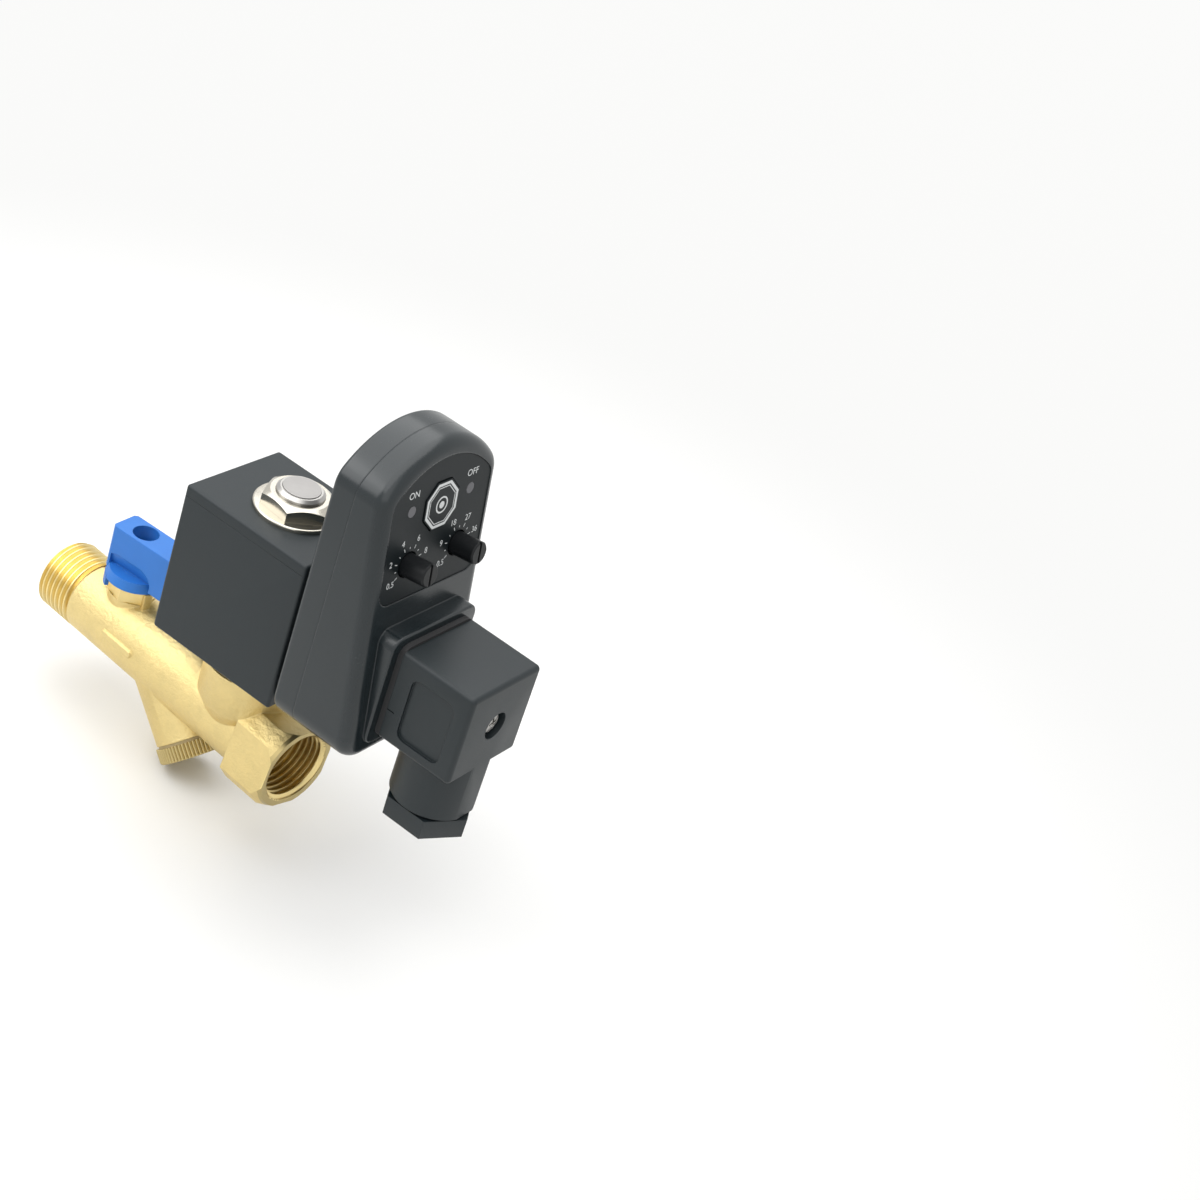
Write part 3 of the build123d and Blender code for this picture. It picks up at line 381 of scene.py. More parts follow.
def wound_copper(name, tone):
    """Layers of enamelled wire, seen as fine rings round the bobbin."""
    shader = Shader(name)
    dark, light = shades(tone, 0.55, 1.15)
    wires = shader.add(
        "ShaderNodeTexWave",
        {"wave_type": "BANDS", "bands_direction": "Z"},
        {"Vector": shader.place(), "Scale": 0.1 / MM, "Distortion": 0.4, "Detail": 1.0},
        output="Fac",
    )
    return shader.finish({
        "Base Color": shader.mix(wires, dark, light),
        "Metallic": 0.8,
        "Roughness": shader.spread(wires, 0.38, 0.24),
        "Normal": shader.bump(wires, 0.12 * MM, 0.9),
    })


def gauze(name, tone):
    """Woven steel gauze: see-through between crossing wires."""
    shader = Shader(name)
    place = shader.place()
    wires = []
    for axis in ("X", "Z"):
        wave = shader.add(
            "ShaderNodeTexWave",
            {"wave_type": "BANDS", "bands_direction": axis},
            {"Vector": place, "Scale": 0.3 / MM / 1.8},
            output="Fac",
        )
        wires.append(wave > 0.45)
    weave = wires[0].combine("MAXIMUM", wires[0], wires[1])
    return shader.finish({
        "Base Color": tuple(tone) + (1.0,),
        "Metallic": 1.0,
        "Roughness": 0.35,
        "Alpha": weave,
        "Normal": shader.bump(wires[0] - wires[1], 0.1 * MM, 0.8),
    })


def board_finish(name, tone):
    """A circuit board: solder mask over paler copper tracks."""
    shader = Shader(name)
    tracks = shader.add(
        "ShaderNodeTexBrick",
        inputs={"Vector": shader.place(), "Scale": 120.0, "Mortar Size": 0.03},
        output="Fac",
    )
    dark, light = shades(tone, 0.9, 1.9)
    return shader.finish({
        "Base Color": shader.mix(tracks, dark, light),
        "Roughness": 0.32,
        "Normal": shader.bump(tracks, 0.03 * MM, 0.6),
    })


def ink_finish(name, tone):
    """Screen-printed ink, a little thin in places."""
    shader = Shader(name)
    dark, light = shades(tone, 0.82, 1.0)
    fine = shader.noise(0.4 * MM, 3.0)
    return shader.finish({
        "Base Color": shader.mix(fine, dark, light),
        "Roughness": shader.spread(fine, 0.45, 0.6),
    })


def make_finishes(colours):
    """Every material of the valve, each under the name of its slot in the record."""
    slate = tuple(colours.slate)
    brass = tuple(colours.brass)
    # Darker, rougher brass, used here on the strainer's cap and on the outlet's end face; on the end face its
    # darker colour is painted shade for the shadow under the coil and timer.
    darker_tone = [c * 0.64 for c in brass]
    plate = [c * 0.6 for c in slate]
    cast_metal("cast_brass", brass)
    turned_metal("machined_brass", brass, gloss=0.29)
    turned_metal("dull_brass", darker_tone, gloss=0.34)
    moulded("blue_plastic", tuple(colours.blue), gloss=0.40, grain=0.35 * MM, depth=0.02 * MM)
    moulded("coil_plastic", slate, gloss=0.50, grain=0.45 * MM, depth=0.03 * MM)
    moulded(
        "timer_plastic", slate, gloss=0.24, grain=0.5 * MM, depth=0.010 * MM, edge=0.5 * MM, shine=0.5
    )
    moulded("plug_plastic", slate, gloss=0.44, grain=0.4 * MM, depth=0.025 * MM)
    moulded("panel_print", plate, gloss=0.42, grain=0.3 * MM, depth=0.008 * MM, shine=0.22)
    moulded(
        "black_knob", (0.006, 0.007, 0.008), gloss=0.38, grain=0.3 * MM, depth=0.01 * MM, shine=0.25
    )
    turned_metal("nickel", (0.58, 0.55, 0.48), gloss=0.20)
    turned_metal("bright_steel", (0.46, 0.45, 0.43), gloss=0.30)
    turned_metal("soft_iron", (0.36, 0.35, 0.34), gloss=0.46, grain=0.4 * MM, depth=0.02 * MM)
    turned_metal("chrome_ball", (0.8, 0.8, 0.8), gloss=0.1)
    rubber("black_rubber", (0.016, 0.016, 0.017))
    rubber("seal_rubber", (0.05, 0.018, 0.012))
    moulded("white_seal", (0.8, 0.8, 0.77), gloss=0.38, grain=0.4 * MM, depth=0.01 * MM)
    turned_metal("copper", (0.78, 0.36, 0.2), gloss=0.26)
    wound_copper("winding_copper", (0.62, 0.22, 0.09))
    turned_metal("tinned_brass", (0.72, 0.69, 0.6), gloss=0.28)
    moulded("nylon", (0.05, 0.05, 0.054), gloss=0.48, grain=0.4 * MM, depth=0.02 * MM)
    board_finish("board_green", (0.015, 0.13, 0.05))
    moulded("component_blue", (0.02, 0.10, 0.36), gloss=0.36, grain=0.4 * MM, depth=0.01 * MM)
    moulded("light_pipe", (0.10, 0.10, 0.11), gloss=0.22, grain=0.6 * MM, depth=0.004 * MM)
    ink_finish("ink", tuple(colours.print))
    moulded("pale_fibre", (0.46, 0.37, 0.20), gloss=0.6, grain=0.4 * MM, depth=0.03 * MM)
    gauze("wire_gauze", (0.6, 0.6, 0.58))


def finish_node(node, finish=None):
    """Gives a CAD node its material."""
    mesh = nodes[node].data
    mesh.materials.clear()
    mesh.materials.append(finishes[finish or node_slot[node]])


def finish_nodes(*names):
    """Gives CAD nodes the materials of their slots."""
    for node in names:
        finish_node(node)


def shade_by_angle(work, degrees=32.0):
    """Smooth faces with sharp edges where two faces meet at a clear angle."""
    limit = math.radians(degrees)
    for face in work.faces:
        face.smooth = True
    for edge in work.edges:
        edge.smooth = len(edge.link_faces) == 2 and edge.calc_face_angle(0.0) < limit


def copy_of(node):
    """A merged, smooth copy of a CAD node, as a bmesh."""
    work = bmesh.new()
    work.from_mesh(nodes[node].data)
    bmesh.ops.remove_doubles(work, verts=work.verts, dist=0.0005 * MM)
    bmesh.ops.dissolve_degenerate(work, edges=work.edges, dist=0.0002 * MM)
    return work


def add_piece(name, work, finish_names, body, slot=None):
    """Turns a bmesh into a piece of the object, riding on a CAD body."""
    mesh = bpy.data.meshes.new(name)
    shade_by_angle(work)
    work.to_mesh(mesh)
    work.free()
    for finish in finish_names:
        mesh.materials.append(finishes[finish])
    piece = bpy.data.objects.new(name, mesh)
    bpy.context.scene.collection.objects.link(piece)
    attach(piece, body)
    return piece


def combine(piece, other_work, operation):
    """Combines a piece with a closed shape, and keeps the result as the piece's mesh."""
    other_mesh = bpy.data.meshes.new("other")
    other_work.to_mesh(other_mesh)
    other_work.free()
    other = bpy.data.objects.new("other", other_mesh)
    bpy.context.scene.collection.objects.link(other)
    modifier = piece.modifiers.new("combine", "BOOLEAN")
    modifier.operation = operation
    modifier.solver = "MANIFOLD"
    modifier.object = other
    graph = bpy.context.evaluated_depsgraph_get()
    result = bpy.data.meshes.new_from_object(piece.evaluated_get(graph))
    piece.modifiers.clear()
    old = piece.data
    result.name = old.name
    piece.data = result
    bpy.data.meshes.remove(old)
    bpy.data.objects.remove(other)
    bpy.data.meshes.remove(other_mesh)


def cut_away(piece, cutter_work):
    """Cuts a closed shape out of a piece."""
    combine(piece, cutter_work, "DIFFERENCE")


def join_on(piece, added_work):
    """Joins a closed shape to a piece that it overlaps."""
    combine(piece, added_work, "UNION")


def reshade(piece, finish_of=None):
    """Sets smooth and sharp again after a cut, and which finish each face has."""
    work = bmesh.new()
    work.from_mesh(piece.data)
    bmesh.ops.remove_doubles(work, verts=work.verts, dist=0.0005 * MM)
    if finish_of:
        for face in work.faces:
            face.material_index = finish_of(face)
    shade_by_angle(work)
    work.to_mesh(piece.data)
    work.free()


def smooth_stand_in(node, name, finish=None):
    """A smooth copy that stands for a CAD node, so that its round sides shade as round."""
    slot = node_slot[node]
    piece = add_piece(name, copy_of(node), [finish or slot], node_body[node], slot)
    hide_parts(node)
    return piece


def smooth_nodes(*names):
    """Smooth copies of CAD nodes that need no further work."""
    for node in names:
        smooth_stand_in(node, "smooth_" + node)


def join_rings(work, rings):
    """Joins each ring of points to the next with faces."""
    for near, far in zip(rings, rings[1:]):
        for index in range(len(near)):
            work.faces.new((near[index - 1], near[index], far[index], far[index - 1]))


def cap_rings(work, rings):
    """Closes the first and the last ring, and turns all faces outward."""
    work.faces.new(rings[0])
    work.faces.new(rings[-1])
    bmesh.ops.recalc_face_normals(work, faces=work.faces)


def helix_cutter(sizes, start, turns, root, crest):
    """A V-shaped ridge wound along X, from root radius to just past the crest."""
    steps = 40
    past = (crest - root) * 0.08
    half_crest = (sizes.pitch - sizes.flat) / 2
    half_root = sizes.pitch * 0.07
    work = bmesh.new()
    ring = [
        work.verts.new((start - half_root, 0.0, root)),
        work.verts.new((start - half_crest, 0.0, crest + past)),
        work.verts.new((start + half_crest, 0.0, crest + past)),
        work.verts.new((start + half_root, 0.0, root)),
    ]
    face = work.faces.new(ring)
    bmesh.ops.spin(
        work,
        geom=[face, *face.edges, *face.verts],
        axis=(1.0, 0.0, 0.0),
        cent=(0.0, 0.0, 0.0),
        dvec=(sizes.pitch / steps, 0.0, 0.0),
        angle=TURN * turns,
        steps=steps * turns,
        use_duplicate=False,
    )
    bmesh.ops.holes_fill(work, edges=[edge for edge in work.edges if edge.is_boundary])
    bmesh.ops.recalc_face_normals(work, faces=work.faces)
    return work


def lead_in_cutter(sizes, end_x):
    """A ring that bevels the first crest of the male thread."""
    reach = sizes.outer + sizes.lead_in
    past = sizes.lead_in * 1.7
    work = bmesh.new()
    ring = [
        work.verts.new((end_x - sizes.lead_in, 0.0, sizes.outer - 2 * sizes.lead_in)),
        work.verts.new((end_x - sizes.lead_in, 0.0, reach)),
        work.verts.new((end_x + past, 0.0, reach)),
    ]
    outline = [work.edges.new((ring[index - 1], ring[index])) for index in range(len(ring))]
    bmesh.ops.spin(
        work,
        geom=[*outline, *ring],
        axis=(1.0, 0.0, 0.0),
        cent=(0.0, 0.0, 0.0),
        angle=TURN,
        steps=64,
        use_merge=True,
        use_duplicate=False,
    )
    bmesh.ops.recalc_face_normals(work, faces=work.faces)
    return work


def brass_finish(face, high_x, sizes):
    """0 for a face left as cast, 1 for one that was turned, 2 for the outlet's end face, whose darker brass is
    painted shade.
    """
    rim_depth = 1.2 * MM
    end_slack = 0.2 * MM
    least_lean = 0.35
    middle = face.calc_center_median()
    off_axis = math.hypot(middle.y, middle.z)
    leans_out = face.normal.x > least_lean
    if leans_out and middle.x > high_x - rim_depth and off_axis > sizes.outer * 0.98:
        return 2
    threads = middle.x < sizes.male_length + sizes.pitch / 2 or middle.x > high_x - end_slack
    inside = off_axis < sizes.outer * 1.005 and middle.x > high_x - sizes.female_length - sizes.pitch
    return int(threads or inside)


def cast_pad(sizes):
    """A flat-topped bar with round ends, standing out of the pipe's near side."""
    levels = (
        (sizes.foot, 0.0),
        (sizes.face - sizes.slope / 2, sizes.slope / 2),
        (sizes.face, sizes.slope),
    )
    ends = ((0, sizes.start + sizes.half), (1, sizes.end - sizes.half))
    steps = 10
    work = bmesh.new()
    rings = []
    for out, inset in levels:
        half = sizes.half - inset
        ring = []
        for end, centre in ends:
            for index in range(steps + 1):
                angle = math.pi * (0.5 + end + index / steps)
                x = centre + half * math.cos(angle)
                z = sizes.middle + half * math.sin(angle)
                ring.append(work.verts.new((x, -out, z)))
        rings.append(ring)
    join_rings(work, rings)
    cap_rings(work, rings)
    return work


class DRAIN_OT_body(bpy.types.Operator):
    """Brass body with both threads cut"""

    bl_idname = "drain_valve.body"
    bl_label = "Brass body"

    def execute(self, context):
        sizes = context.scene.drain_threads
        low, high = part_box("valve_body")
        finish_names = ["cast_brass", "machined_brass", "dull_brass"]
        piece = add_piece("brass_body", copy_of("valve_body"), finish_names, "body", "cast_brass")
        male_turns = math.ceil(sizes.male_length / sizes.pitch)
        male = helix_cutter(sizes, low.x - sizes.pitch / 2, male_turns, sizes.inner, sizes.outer)
        cut_away(piece, male)
        female_turns = math.floor(sizes.female_length / sizes.pitch) + 1
        female_start = high.x - sizes.female_length + sizes.pitch / 2
        female = helix_cutter(sizes, female_start, female_turns, sizes.outer, sizes.inner)
        cut_away(piece, female)
        cut_away(piece, lead_in_cutter(sizes, low.x))
        join_on(piece, cast_pad(context.scene.drain_pad))
        # The outlet's end face takes the third finish, the darker brass, whose darker colour there is painted
        # shade.
        reshade(piece, lambda face: brass_finish(face, high.x, sizes))
        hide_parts("valve_body")
        return {"FINISHED"}


class DRAIN_OT_valve_inside(bpy.types.Operator):
    """Ball, seats, stem and the other pieces inside the brass body"""

    bl_idname = "drain_valve.valve_inside"
    bl_label = "Ball valve"

    def execute(self, context):
        finish_nodes("ball_retainer", "ball_seats", "stem_packing", "tube_o_ring")
        finish_nodes("fixed_core", "shading_ring", "plunger_seal")
        self.squeezed_spring()
        smooth_nodes("valve_ball", "valve_stem", "stem_gland_nut", "plunger")
        return {"FINISHED"}

    def squeezed_spring(self):
        """The plunger's spring as a smooth copy with a mesh of its own; the real spring shortens towards the fixed
        core as the plunger lifts.
        """
        spring = smooth_stand_in("plunger_spring", "squeezed_spring")
        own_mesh(spring)


class DRAIN_OT_strainer(bpy.types.Operator):
    """Knurled cap, its gasket and the gauze screen"""

    bl_idname = "drain_valve.strainer"
    bl_label = "Strainer"

    def execute(self, context):
        smooth_stand_in("strainer_cap", "knurled_cap", "dull_brass")
        finish_node("strainer_gasket", "pale_fibre")
        finish_node("strainer_screen", "wire_gauze")
        return {"FINISHED"}


def cross_cutters(centre, axis, span, sizes):
    """The two tapered slots of a cross recess, each as a bmesh."""
    slant = TURN / 16
    taper = 0.6
    turn = Vector((0.0, 0.0, 1.0)).rotation_difference(Vector(axis)).to_matrix().to_4x4()
    for quarter in (0.0, TURN / 4):
        work = bmesh.new()
        bmesh.ops.create_cube(work, size=1.0)
        stretch = Matrix.Diagonal((span, sizes.slot, 2 * sizes.depth, 1.0))
        place = Matrix.Translation(centre) @ turn @ Matrix.Rotation(quarter + slant, 4, "Z") @ stretch
        bmesh.ops.transform(work, matrix=place, verts=work.verts)
        bottom = [v for v in work.verts if (v.co - Vector(centre)).dot(Vector(axis)) < 0]
        middle = sum((v.co for v in bottom), Vector()) / len(bottom)
        space = Matrix.Translation(-middle)
        bmesh.ops.scale(work, vec=(taper, taper, taper), space=space, verts=bottom)
        yield work


def long_prism(section, start, end, place):
    """A closed bar along X with a section given as (y, z) points."""
    work = bmesh.new()
    rings = [[work.verts.new((x, y, z)) for y, z in section] for x in (start, end)]
    join_rings(work, rings)
    cap_rings(work, rings)
    bmesh.ops.transform(work, matrix=place, verts=work.verts)
    return work


def lever_place(sizes):
    """The lever's own frame: on the stem's axis, turned as the lever is at rest."""
    stem = Vector(joints["lever_turn"]["pos_m"])
    return Matrix.Translation((stem.x, stem.y, 0.0)) @ Matrix.Rotation(sizes.turn, 4, "Z")


def lever_web(sizes):
    """The web under the arm, and two bars that trim the neck behind its faces."""
    place = lever_place(sizes)
    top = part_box("lever")[1].z - sizes.top_drop
    foot = top - sizes.height
    foot_line = ((-sizes.foot_half, foot), (sizes.foot_half, foot))
    top_line = ((sizes.top_half, top), (-sizes.top_half, top))
    yield long_prism((*foot_line, *top_line), -sizes.back, sizes.front, place)
    trim_top = top - 6 * sizes.trim
    trim_foot = foot + 2 * sizes.trim
    outside = sizes.top_half + 10 * sizes.trim
    for side in (-1, 1):
        face = ((sizes.foot_half - sizes.trim, trim_foot), (sizes.top_half - 2 * sizes.trim, trim_top))
        edges = (*face, (outside, trim_top), (outside, trim_foot))
        yield long_prism([(side * y, z) for y, z in edges], -sizes.neck_reach, sizes.neck_reach, place)


def lever_tab(sizes):
    """The short wall under the ring, at the near end of the lever's skirt."""
    place = lever_place(sizes)
    low_line = ((sizes.tab_inner, sizes.tab_low), (sizes.tab_outer, sizes.tab_low))
    high_line = ((sizes.tab_outer, sizes.tab_high), (sizes.tab_inner, sizes.tab_high))
    steps = 12
    work = bmesh.new()
    rings = []
    for index in range(steps + 1):
        angle = sizes.tab_start + (sizes.tab_end - sizes.tab_start) * index / steps
        along = Vector((math.cos(angle), math.sin(angle), 0.0))
        corners = [along * reach + Vector((0.0, 0.0, z)) for reach, z in (*low_line, *high_line)]
        rings.append([work.verts.new(place @ corner) for corner in corners])
    join_rings(work, rings)
    cap_rings(work, rings)
    return work


class DRAIN_OT_lever(bpy.types.Operator):
    """Blue handle and its screw with a cross recess"""

    bl_idname = "drain_valve.lever"
    bl_label = "Lever"

    def execute(self, context):
        sizes = context.scene.drain_screws
        handle = smooth_stand_in("lever", "blue_lever")
        web, *trims = lever_web(context.scene.drain_web)
        for trim in trims:
            cut_away(handle, trim)
        join_on(handle, web)
        join_on(handle, lever_tab(context.scene.drain_web))
        reshade(handle)
        screw = smooth_stand_in("lever_screw", "lever_cross_screw")
        low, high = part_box("lever_screw")
        centre = ((low.x + high.x) / 2, (low.y + high.y) / 2, high.z)
        for cutter in cross_cutters(centre, (0.0, 0.0, 1.0), sizes.lever_span, sizes):
            cut_away(screw, cutter)
        reshade(screw)
        return {"FINISHED"}


def seam_cutter(sizes):
    """A square ring that scores a seam round the coil, below its top."""
    axes = panel_axes()
    across = axes[0]
    ahead = Vector((axes[2].x, axes[2].y, 0.0)).normalized()
    points = [v.co for v in nodes["coil_housing"].data.vertices]
    spans = []
    for axis in (ahead, across):
        along = [point.dot(axis) for point in points]
        spans.append((min(along), max(along)))
    (back, front), (left, right) = spans
    top = max(point.z for point in points) - sizes.drop
    low = top - sizes.width
    work = bmesh.new()
    profile = [(low, sizes.width), (low, -sizes.depth), (top, -sizes.depth), (top, sizes.width)]
    rings = []
    for height, reach in profile:
        lift = Vector((0.0, 0.0, height))
        corners = [(back - reach, left - reach), (front + reach, left - reach)]
        corners += [(front + reach, right + reach), (back - reach, right + reach)]
        rings.append([work.verts.new(ahead * a + across * b + lift) for a, b in corners])
    join_rings(work, [*rings, rings[0]])
    bmesh.ops.recalc_face_normals(work, faces=work.faces)
    return work


class DRAIN_OT_coil(bpy.types.Operator):
    """Coil block, core tube, washer and nut"""

    bl_idname = "drain_valve.coil"
    bl_label = "Coil"

    def execute(self, context):
        sizes = context.scene.drain_seams
        finish_nodes("coil_bobbin", "coil_winding", "coil_yoke", "coil_terminals")
        smooth_nodes("core_tube", "coil_washer", "coil_nut")
        block = smooth_stand_in("coil_housing", "smooth_coil_housing")
        cut_away(block, seam_cutter(sizes))
        reshade(block)
        return {"FINISHED"}


class DRAIN_OT_timer(bpy.types.Operator):
    """Timer housing, panel, knobs, lights and what is inside"""

    bl_idname = "drain_valve.timer"
    bl_label = "Timer"

    def execute(self, context):
        finish_nodes("timer_gasket", "timer_circuit_board", "timer_contact_block", "timer_blades")
        finish_nodes("potentiometers", "test_switch", "on_led", "off_led")
        smooth_nodes("timer_rear_cover", "timer_front_cover", "timer_panel", "test_button")
        smooth_nodes("on_time_knob", "off_time_knob")
        return {"FINISHED"}


def panel_axes():
    """The panel's across, up and outward directions, from the dials' joints."""
    outward = Vector(joints["on_knob_turn"]["axis"]).normalized()
    on_dial = Vector(joints["on_knob_turn"]["pos_m"])
    off_dial = Vector(joints["off_knob_turn"]["pos_m"])
    across = (off_dial - on_dial).normalized()
    return across, outward.cross(across), outward


def panel_place(point, sizes, right=0.0, rise=0.0, turn=0.0):
    """A place on the printed face, beside a point of the housing's front."""
    across, up, outward = panel_axes()
    spin = Matrix.Rotation(turn, 4, "Z")
    axes = Matrix((across, up, outward)).transposed().to_4x4()
    origin = Vector(point) + across * right + up * rise - outward * sizes.face_depth
    return Matrix.Translation(origin) @ axes @ spin


def print_words(work, words, height, place, ink):
    """Adds flat lettering, as thin as ink, to a bmesh."""
    curve = bpy.data.curves.new("words", "FONT")
    curve.body = words
    curve.size = height
    curve.align_x = "CENTER"
    curve.align_y = "CENTER"
    curve.extrude = ink
    curve.resolution_u = 4
    holder = bpy.data.objects.new("words", curve)
    bpy.context.scene.collection.objects.link(holder)
    graph = bpy.context.evaluated_depsgraph_get()
    mesh = bpy.data.meshes.new_from_object(holder.evaluated_get(graph))
    mesh.transform(place)
    work.from_mesh(mesh)
    bpy.data.objects.remove(holder)
    bpy.data.curves.remove(curve)
    bpy.data.meshes.remove(mesh)


def print_bar(work, place, size_x, size_y, ink):
    """Adds a thin printed bar to a bmesh."""
    stretch = Matrix.Diagonal((size_x, size_y, 2 * ink, 1.0))
    bmesh.ops.create_cube(work, size=1.0, matrix=place @ stretch)


def print_ring(work, place, outer, width, sides, ink, phase=0.0):
    """Adds a flat ring with any number of sides to a bmesh."""
    spin = Matrix.Rotation(phase, 4, "Z")
    made = bmesh.ops.create_circle(work, cap_ends=True, segments=sides, radius=outer, matrix=place @ spin)
    face = made["verts"][0].link_faces[0]
    inset = bmesh.ops.inset_individual(work, faces=[face], thickness=width, use_even_offset=True)
    bmesh.ops.delete(work, geom=[face], context="FACES")
    up = place.to_3x3() @ Vector((0.0, 0.0, ink))
    raised = bmesh.ops.extrude_face_region(work, geom=inset["faces"])
    verts = [item for item in raised["geom"] if isinstance(item, bmesh.types.BMVert)]
    bmesh.ops.translate(work, vec=up, verts=verts)


def print_dial(work, centre, numbers, sizes):
    """Adds one dial: long and short ticks, and the numbers round them."""
    steps = 2 * (len(numbers) - 1)
    first = math.radians(215)
    sweep = math.radians(250)
    short = 0.55
    for step in range(steps + 1):
        angle = first - sweep * step / steps
        tick = sizes.tick_length * (1.0 if step % 2 == 0 else short)
        reach = sizes.tick_start + tick / 2
        place = panel_place(centre, sizes, reach * math.cos(angle), reach * math.sin(angle), angle)
        print_bar(work, place, tick, sizes.line, sizes.ink)
    for index, number in enumerate(numbers):
        angle = first - sweep * index / (len(numbers) - 1)
        right = sizes.digit_radius * math.cos(angle)
        rise = sizes.digit_radius * math.sin(angle)
        print_words(work, number, sizes.digit_height, panel_place(centre, sizes, right, rise), sizes.ink)


class DRAIN_OT_print(bpy.types.Operator):
    """Dial scales, ON and OFF, and the key's rings"""

    bl_idname = "drain_valve.print"
    bl_label = "Panel print"

    def execute(self, context):
        sizes = context.scene.drain_panel
        on_dial = joints["on_knob_turn"]["pos_m"]
        off_dial = joints["off_knob_turn"]["pos_m"]
        work = bmesh.new()
        print_dial(work, on_dial, ("0.5", "2", "4", "6", "8", "10"), sizes)
        print_dial(work, off_dial, ("0.5", "9", "18", "27", "36", "45"), sizes)
        for words, light in (("ON", "on_led"), ("OFF", "off_led")):
            place = self.beside_light(light, sizes)
            print_words(work, words, sizes.word_height, place, sizes.ink)
        add_piece("panel_ink", work, ["ink"], "coil_head")
        self.print_key(sizes)
        return {"FINISHED"}

    def beside_light(self, light, sizes):
        """The place above a light, on the panel's plane."""
        outward = panel_axes()[2]
        low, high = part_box(light)
        middle = (low + high) / 2
        on_plane = Vector(joints["on_knob_turn"]["pos_m"])
        middle += outward * (on_plane - middle).dot(outward)
        return panel_place(middle, sizes, rise=sizes.word_rise)

    def print_key(self, sizes):
        """Two octagon rings and a plain press symbol on the key's face."""
        outward = panel_axes()[2]
        key = nodes["test_button"].data
        top = max(v.co.dot(outward) for v in key.vertices)
        face = [v.co for v in key.vertices if v.co.dot(outward) > top - 0.05 * MM]
        middle = sum(face, Vector()) / len(face)
        middle += outward * sizes.face_depth
        place = panel_place(middle, sizes)
        half_side = math.pi / 8
        corner = 1 / math.cos(half_side)
        outer = sizes.key_flats / 2
        inner = outer - sizes.key_ring - sizes.key_gap
        dot = sizes.key_symbol * 0.42
        dot_width = sizes.key_symbol * 0.4
        work = bmesh.new()
        print_ring(work, place, outer * corner, sizes.key_ring, 8, sizes.ink, half_side)
        print_ring(work, place, inner * corner, sizes.line, 8, sizes.ink, half_side)
        print_ring(work, place, sizes.key_symbol, 2 * sizes.line, 32, sizes.ink)
        print_ring(work, place, dot, dot_width, 24, sizes.ink)
        add_piece("key_ink", work, ["ink"], "button")


def upright_prism(sides, radius, low, high, place):
    """A closed prism, or a cylinder with many sides, between two heights."""
    work = bmesh.new()
    bmesh.ops.create_cone(
        work,
        cap_ends=True,
        segments=sides,
        radius1=radius,
        radius2=radius,
        depth=high - low,
        matrix=place @ Matrix.Translation((0.0, 0.0, (low + high) / 2)),
    )
    return work


def cable_nut(sizes):
    """The hexagonal nut under the plug's neck, with its collar, spigot and bore."""
    low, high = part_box("gland_nut")
    ahead = Vector(joints["plug_pull"]["axis"])
    turn = math.atan2(ahead.y, ahead.x) + TURN / 12
    middle = (low + high) / 2
    place = Matrix.Translation((middle.x, middle.y, 0.0)) @ Matrix.Rotation(turn, 4, "Z")
    hexagon_top = low.z + sizes.hexagon
    collar_top = hexagon_top + sizes.collar_height
    work = upright_prism(6, sizes.corner, low.z, hexagon_top, place)
    lower = [edge for edge in work.edges if all(v.co.z < low.z + sizes.edge for v in edge.verts)]
    bmesh.ops.bevel(
        work, geom=lower, offset=sizes.edge, affect="EDGES", segments=2, profile=0.5, material=-1
    )
    slot = node_slot["gland_nut"]
    nut = add_piece("hexagonal_cable_nut", work, [slot], node_body["gland_nut"], slot)
    round_sides = 64
    join_on(nut, upright_prism(round_sides, sizes.collar, hexagon_top - sizes.overlap, collar_top, place))
    join_on(nut, upright_prism(round_sides, sizes.spigot, collar_top - sizes.overlap, high.z, place))
    bore_low = low.z - sizes.overlap
    bore_high = high.z + sizes.overlap
    cut_away(nut, upright_prism(round_sides, sizes.bore, bore_low, bore_high, place))
    reshade(nut)
    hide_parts("gland_nut")


def latch_cutters(sizes):
    """A short flat box for the slit in either side of the plug, at its back edge."""
    ahead = Vector(joints["plug_pull"]["axis"]).normalized()
    across = Vector((0.0, 0.0, 1.0)).cross(ahead)
    points = [v.co for v in nodes["plug_housing"].data.vertices]
    back = min(point.dot(ahead) for point in points)
    sides = [point.dot(across) for point in points]
    height = max(point.z for point in points) - sizes.latch_drop
    axes = Matrix((ahead, across, Vector((0.0, 0.0, 1.0)))).transposed().to_4x4()
    stretch = Matrix.Diagonal((2 * sizes.latch_length, 2 * sizes.latch_depth, sizes.latch_width, 1.0))
    for side in (min(sides), max(sides)):
        work = bmesh.new()
        place = Matrix.Translation(ahead * back + across * side + Vector((0.0, 0.0, height)))
        bmesh.ops.create_cube(work, size=1.0, matrix=place @ axes @ stretch)
        yield work


class DRAIN_OT_plug(bpy.types.Operator):
    """Cable plug with its long screw and gland"""

    bl_idname = "drain_valve.plug"
    bl_label = "Plug"

    def execute(self, context):
        sizes = context.scene.drain_screws
        finish_nodes("plug_gasket", "plug_terminal_block", "plug_contacts", "gland_washer")
        smooth_stand_in("gland_grommet", "smooth_gland_grommet")
        cable_nut(context.scene.drain_gland)
        housing = smooth_stand_in("plug_housing", "smooth_plug_housing")
        for cutter in latch_cutters(context.scene.drain_seams):
            cut_away(housing, cutter)
        reshade(housing)
        screw = smooth_stand_in("plug_screw", "plug_cross_screw")
        axis = Vector(joints["plug_pull"]["axis"]).normalized()
        top = max(v.co.dot(axis) for v in screw.data.vertices)
        low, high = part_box("plug_screw")
        middle = (low + high) / 2
        centre = middle + axis * (top - middle.dot(axis))
        for cutter in cross_cutters(centre, axis, sizes.plug_span, sizes):
            cut_away(screw, cutter)
        reshade(screw)
        return {"FINISHED"}


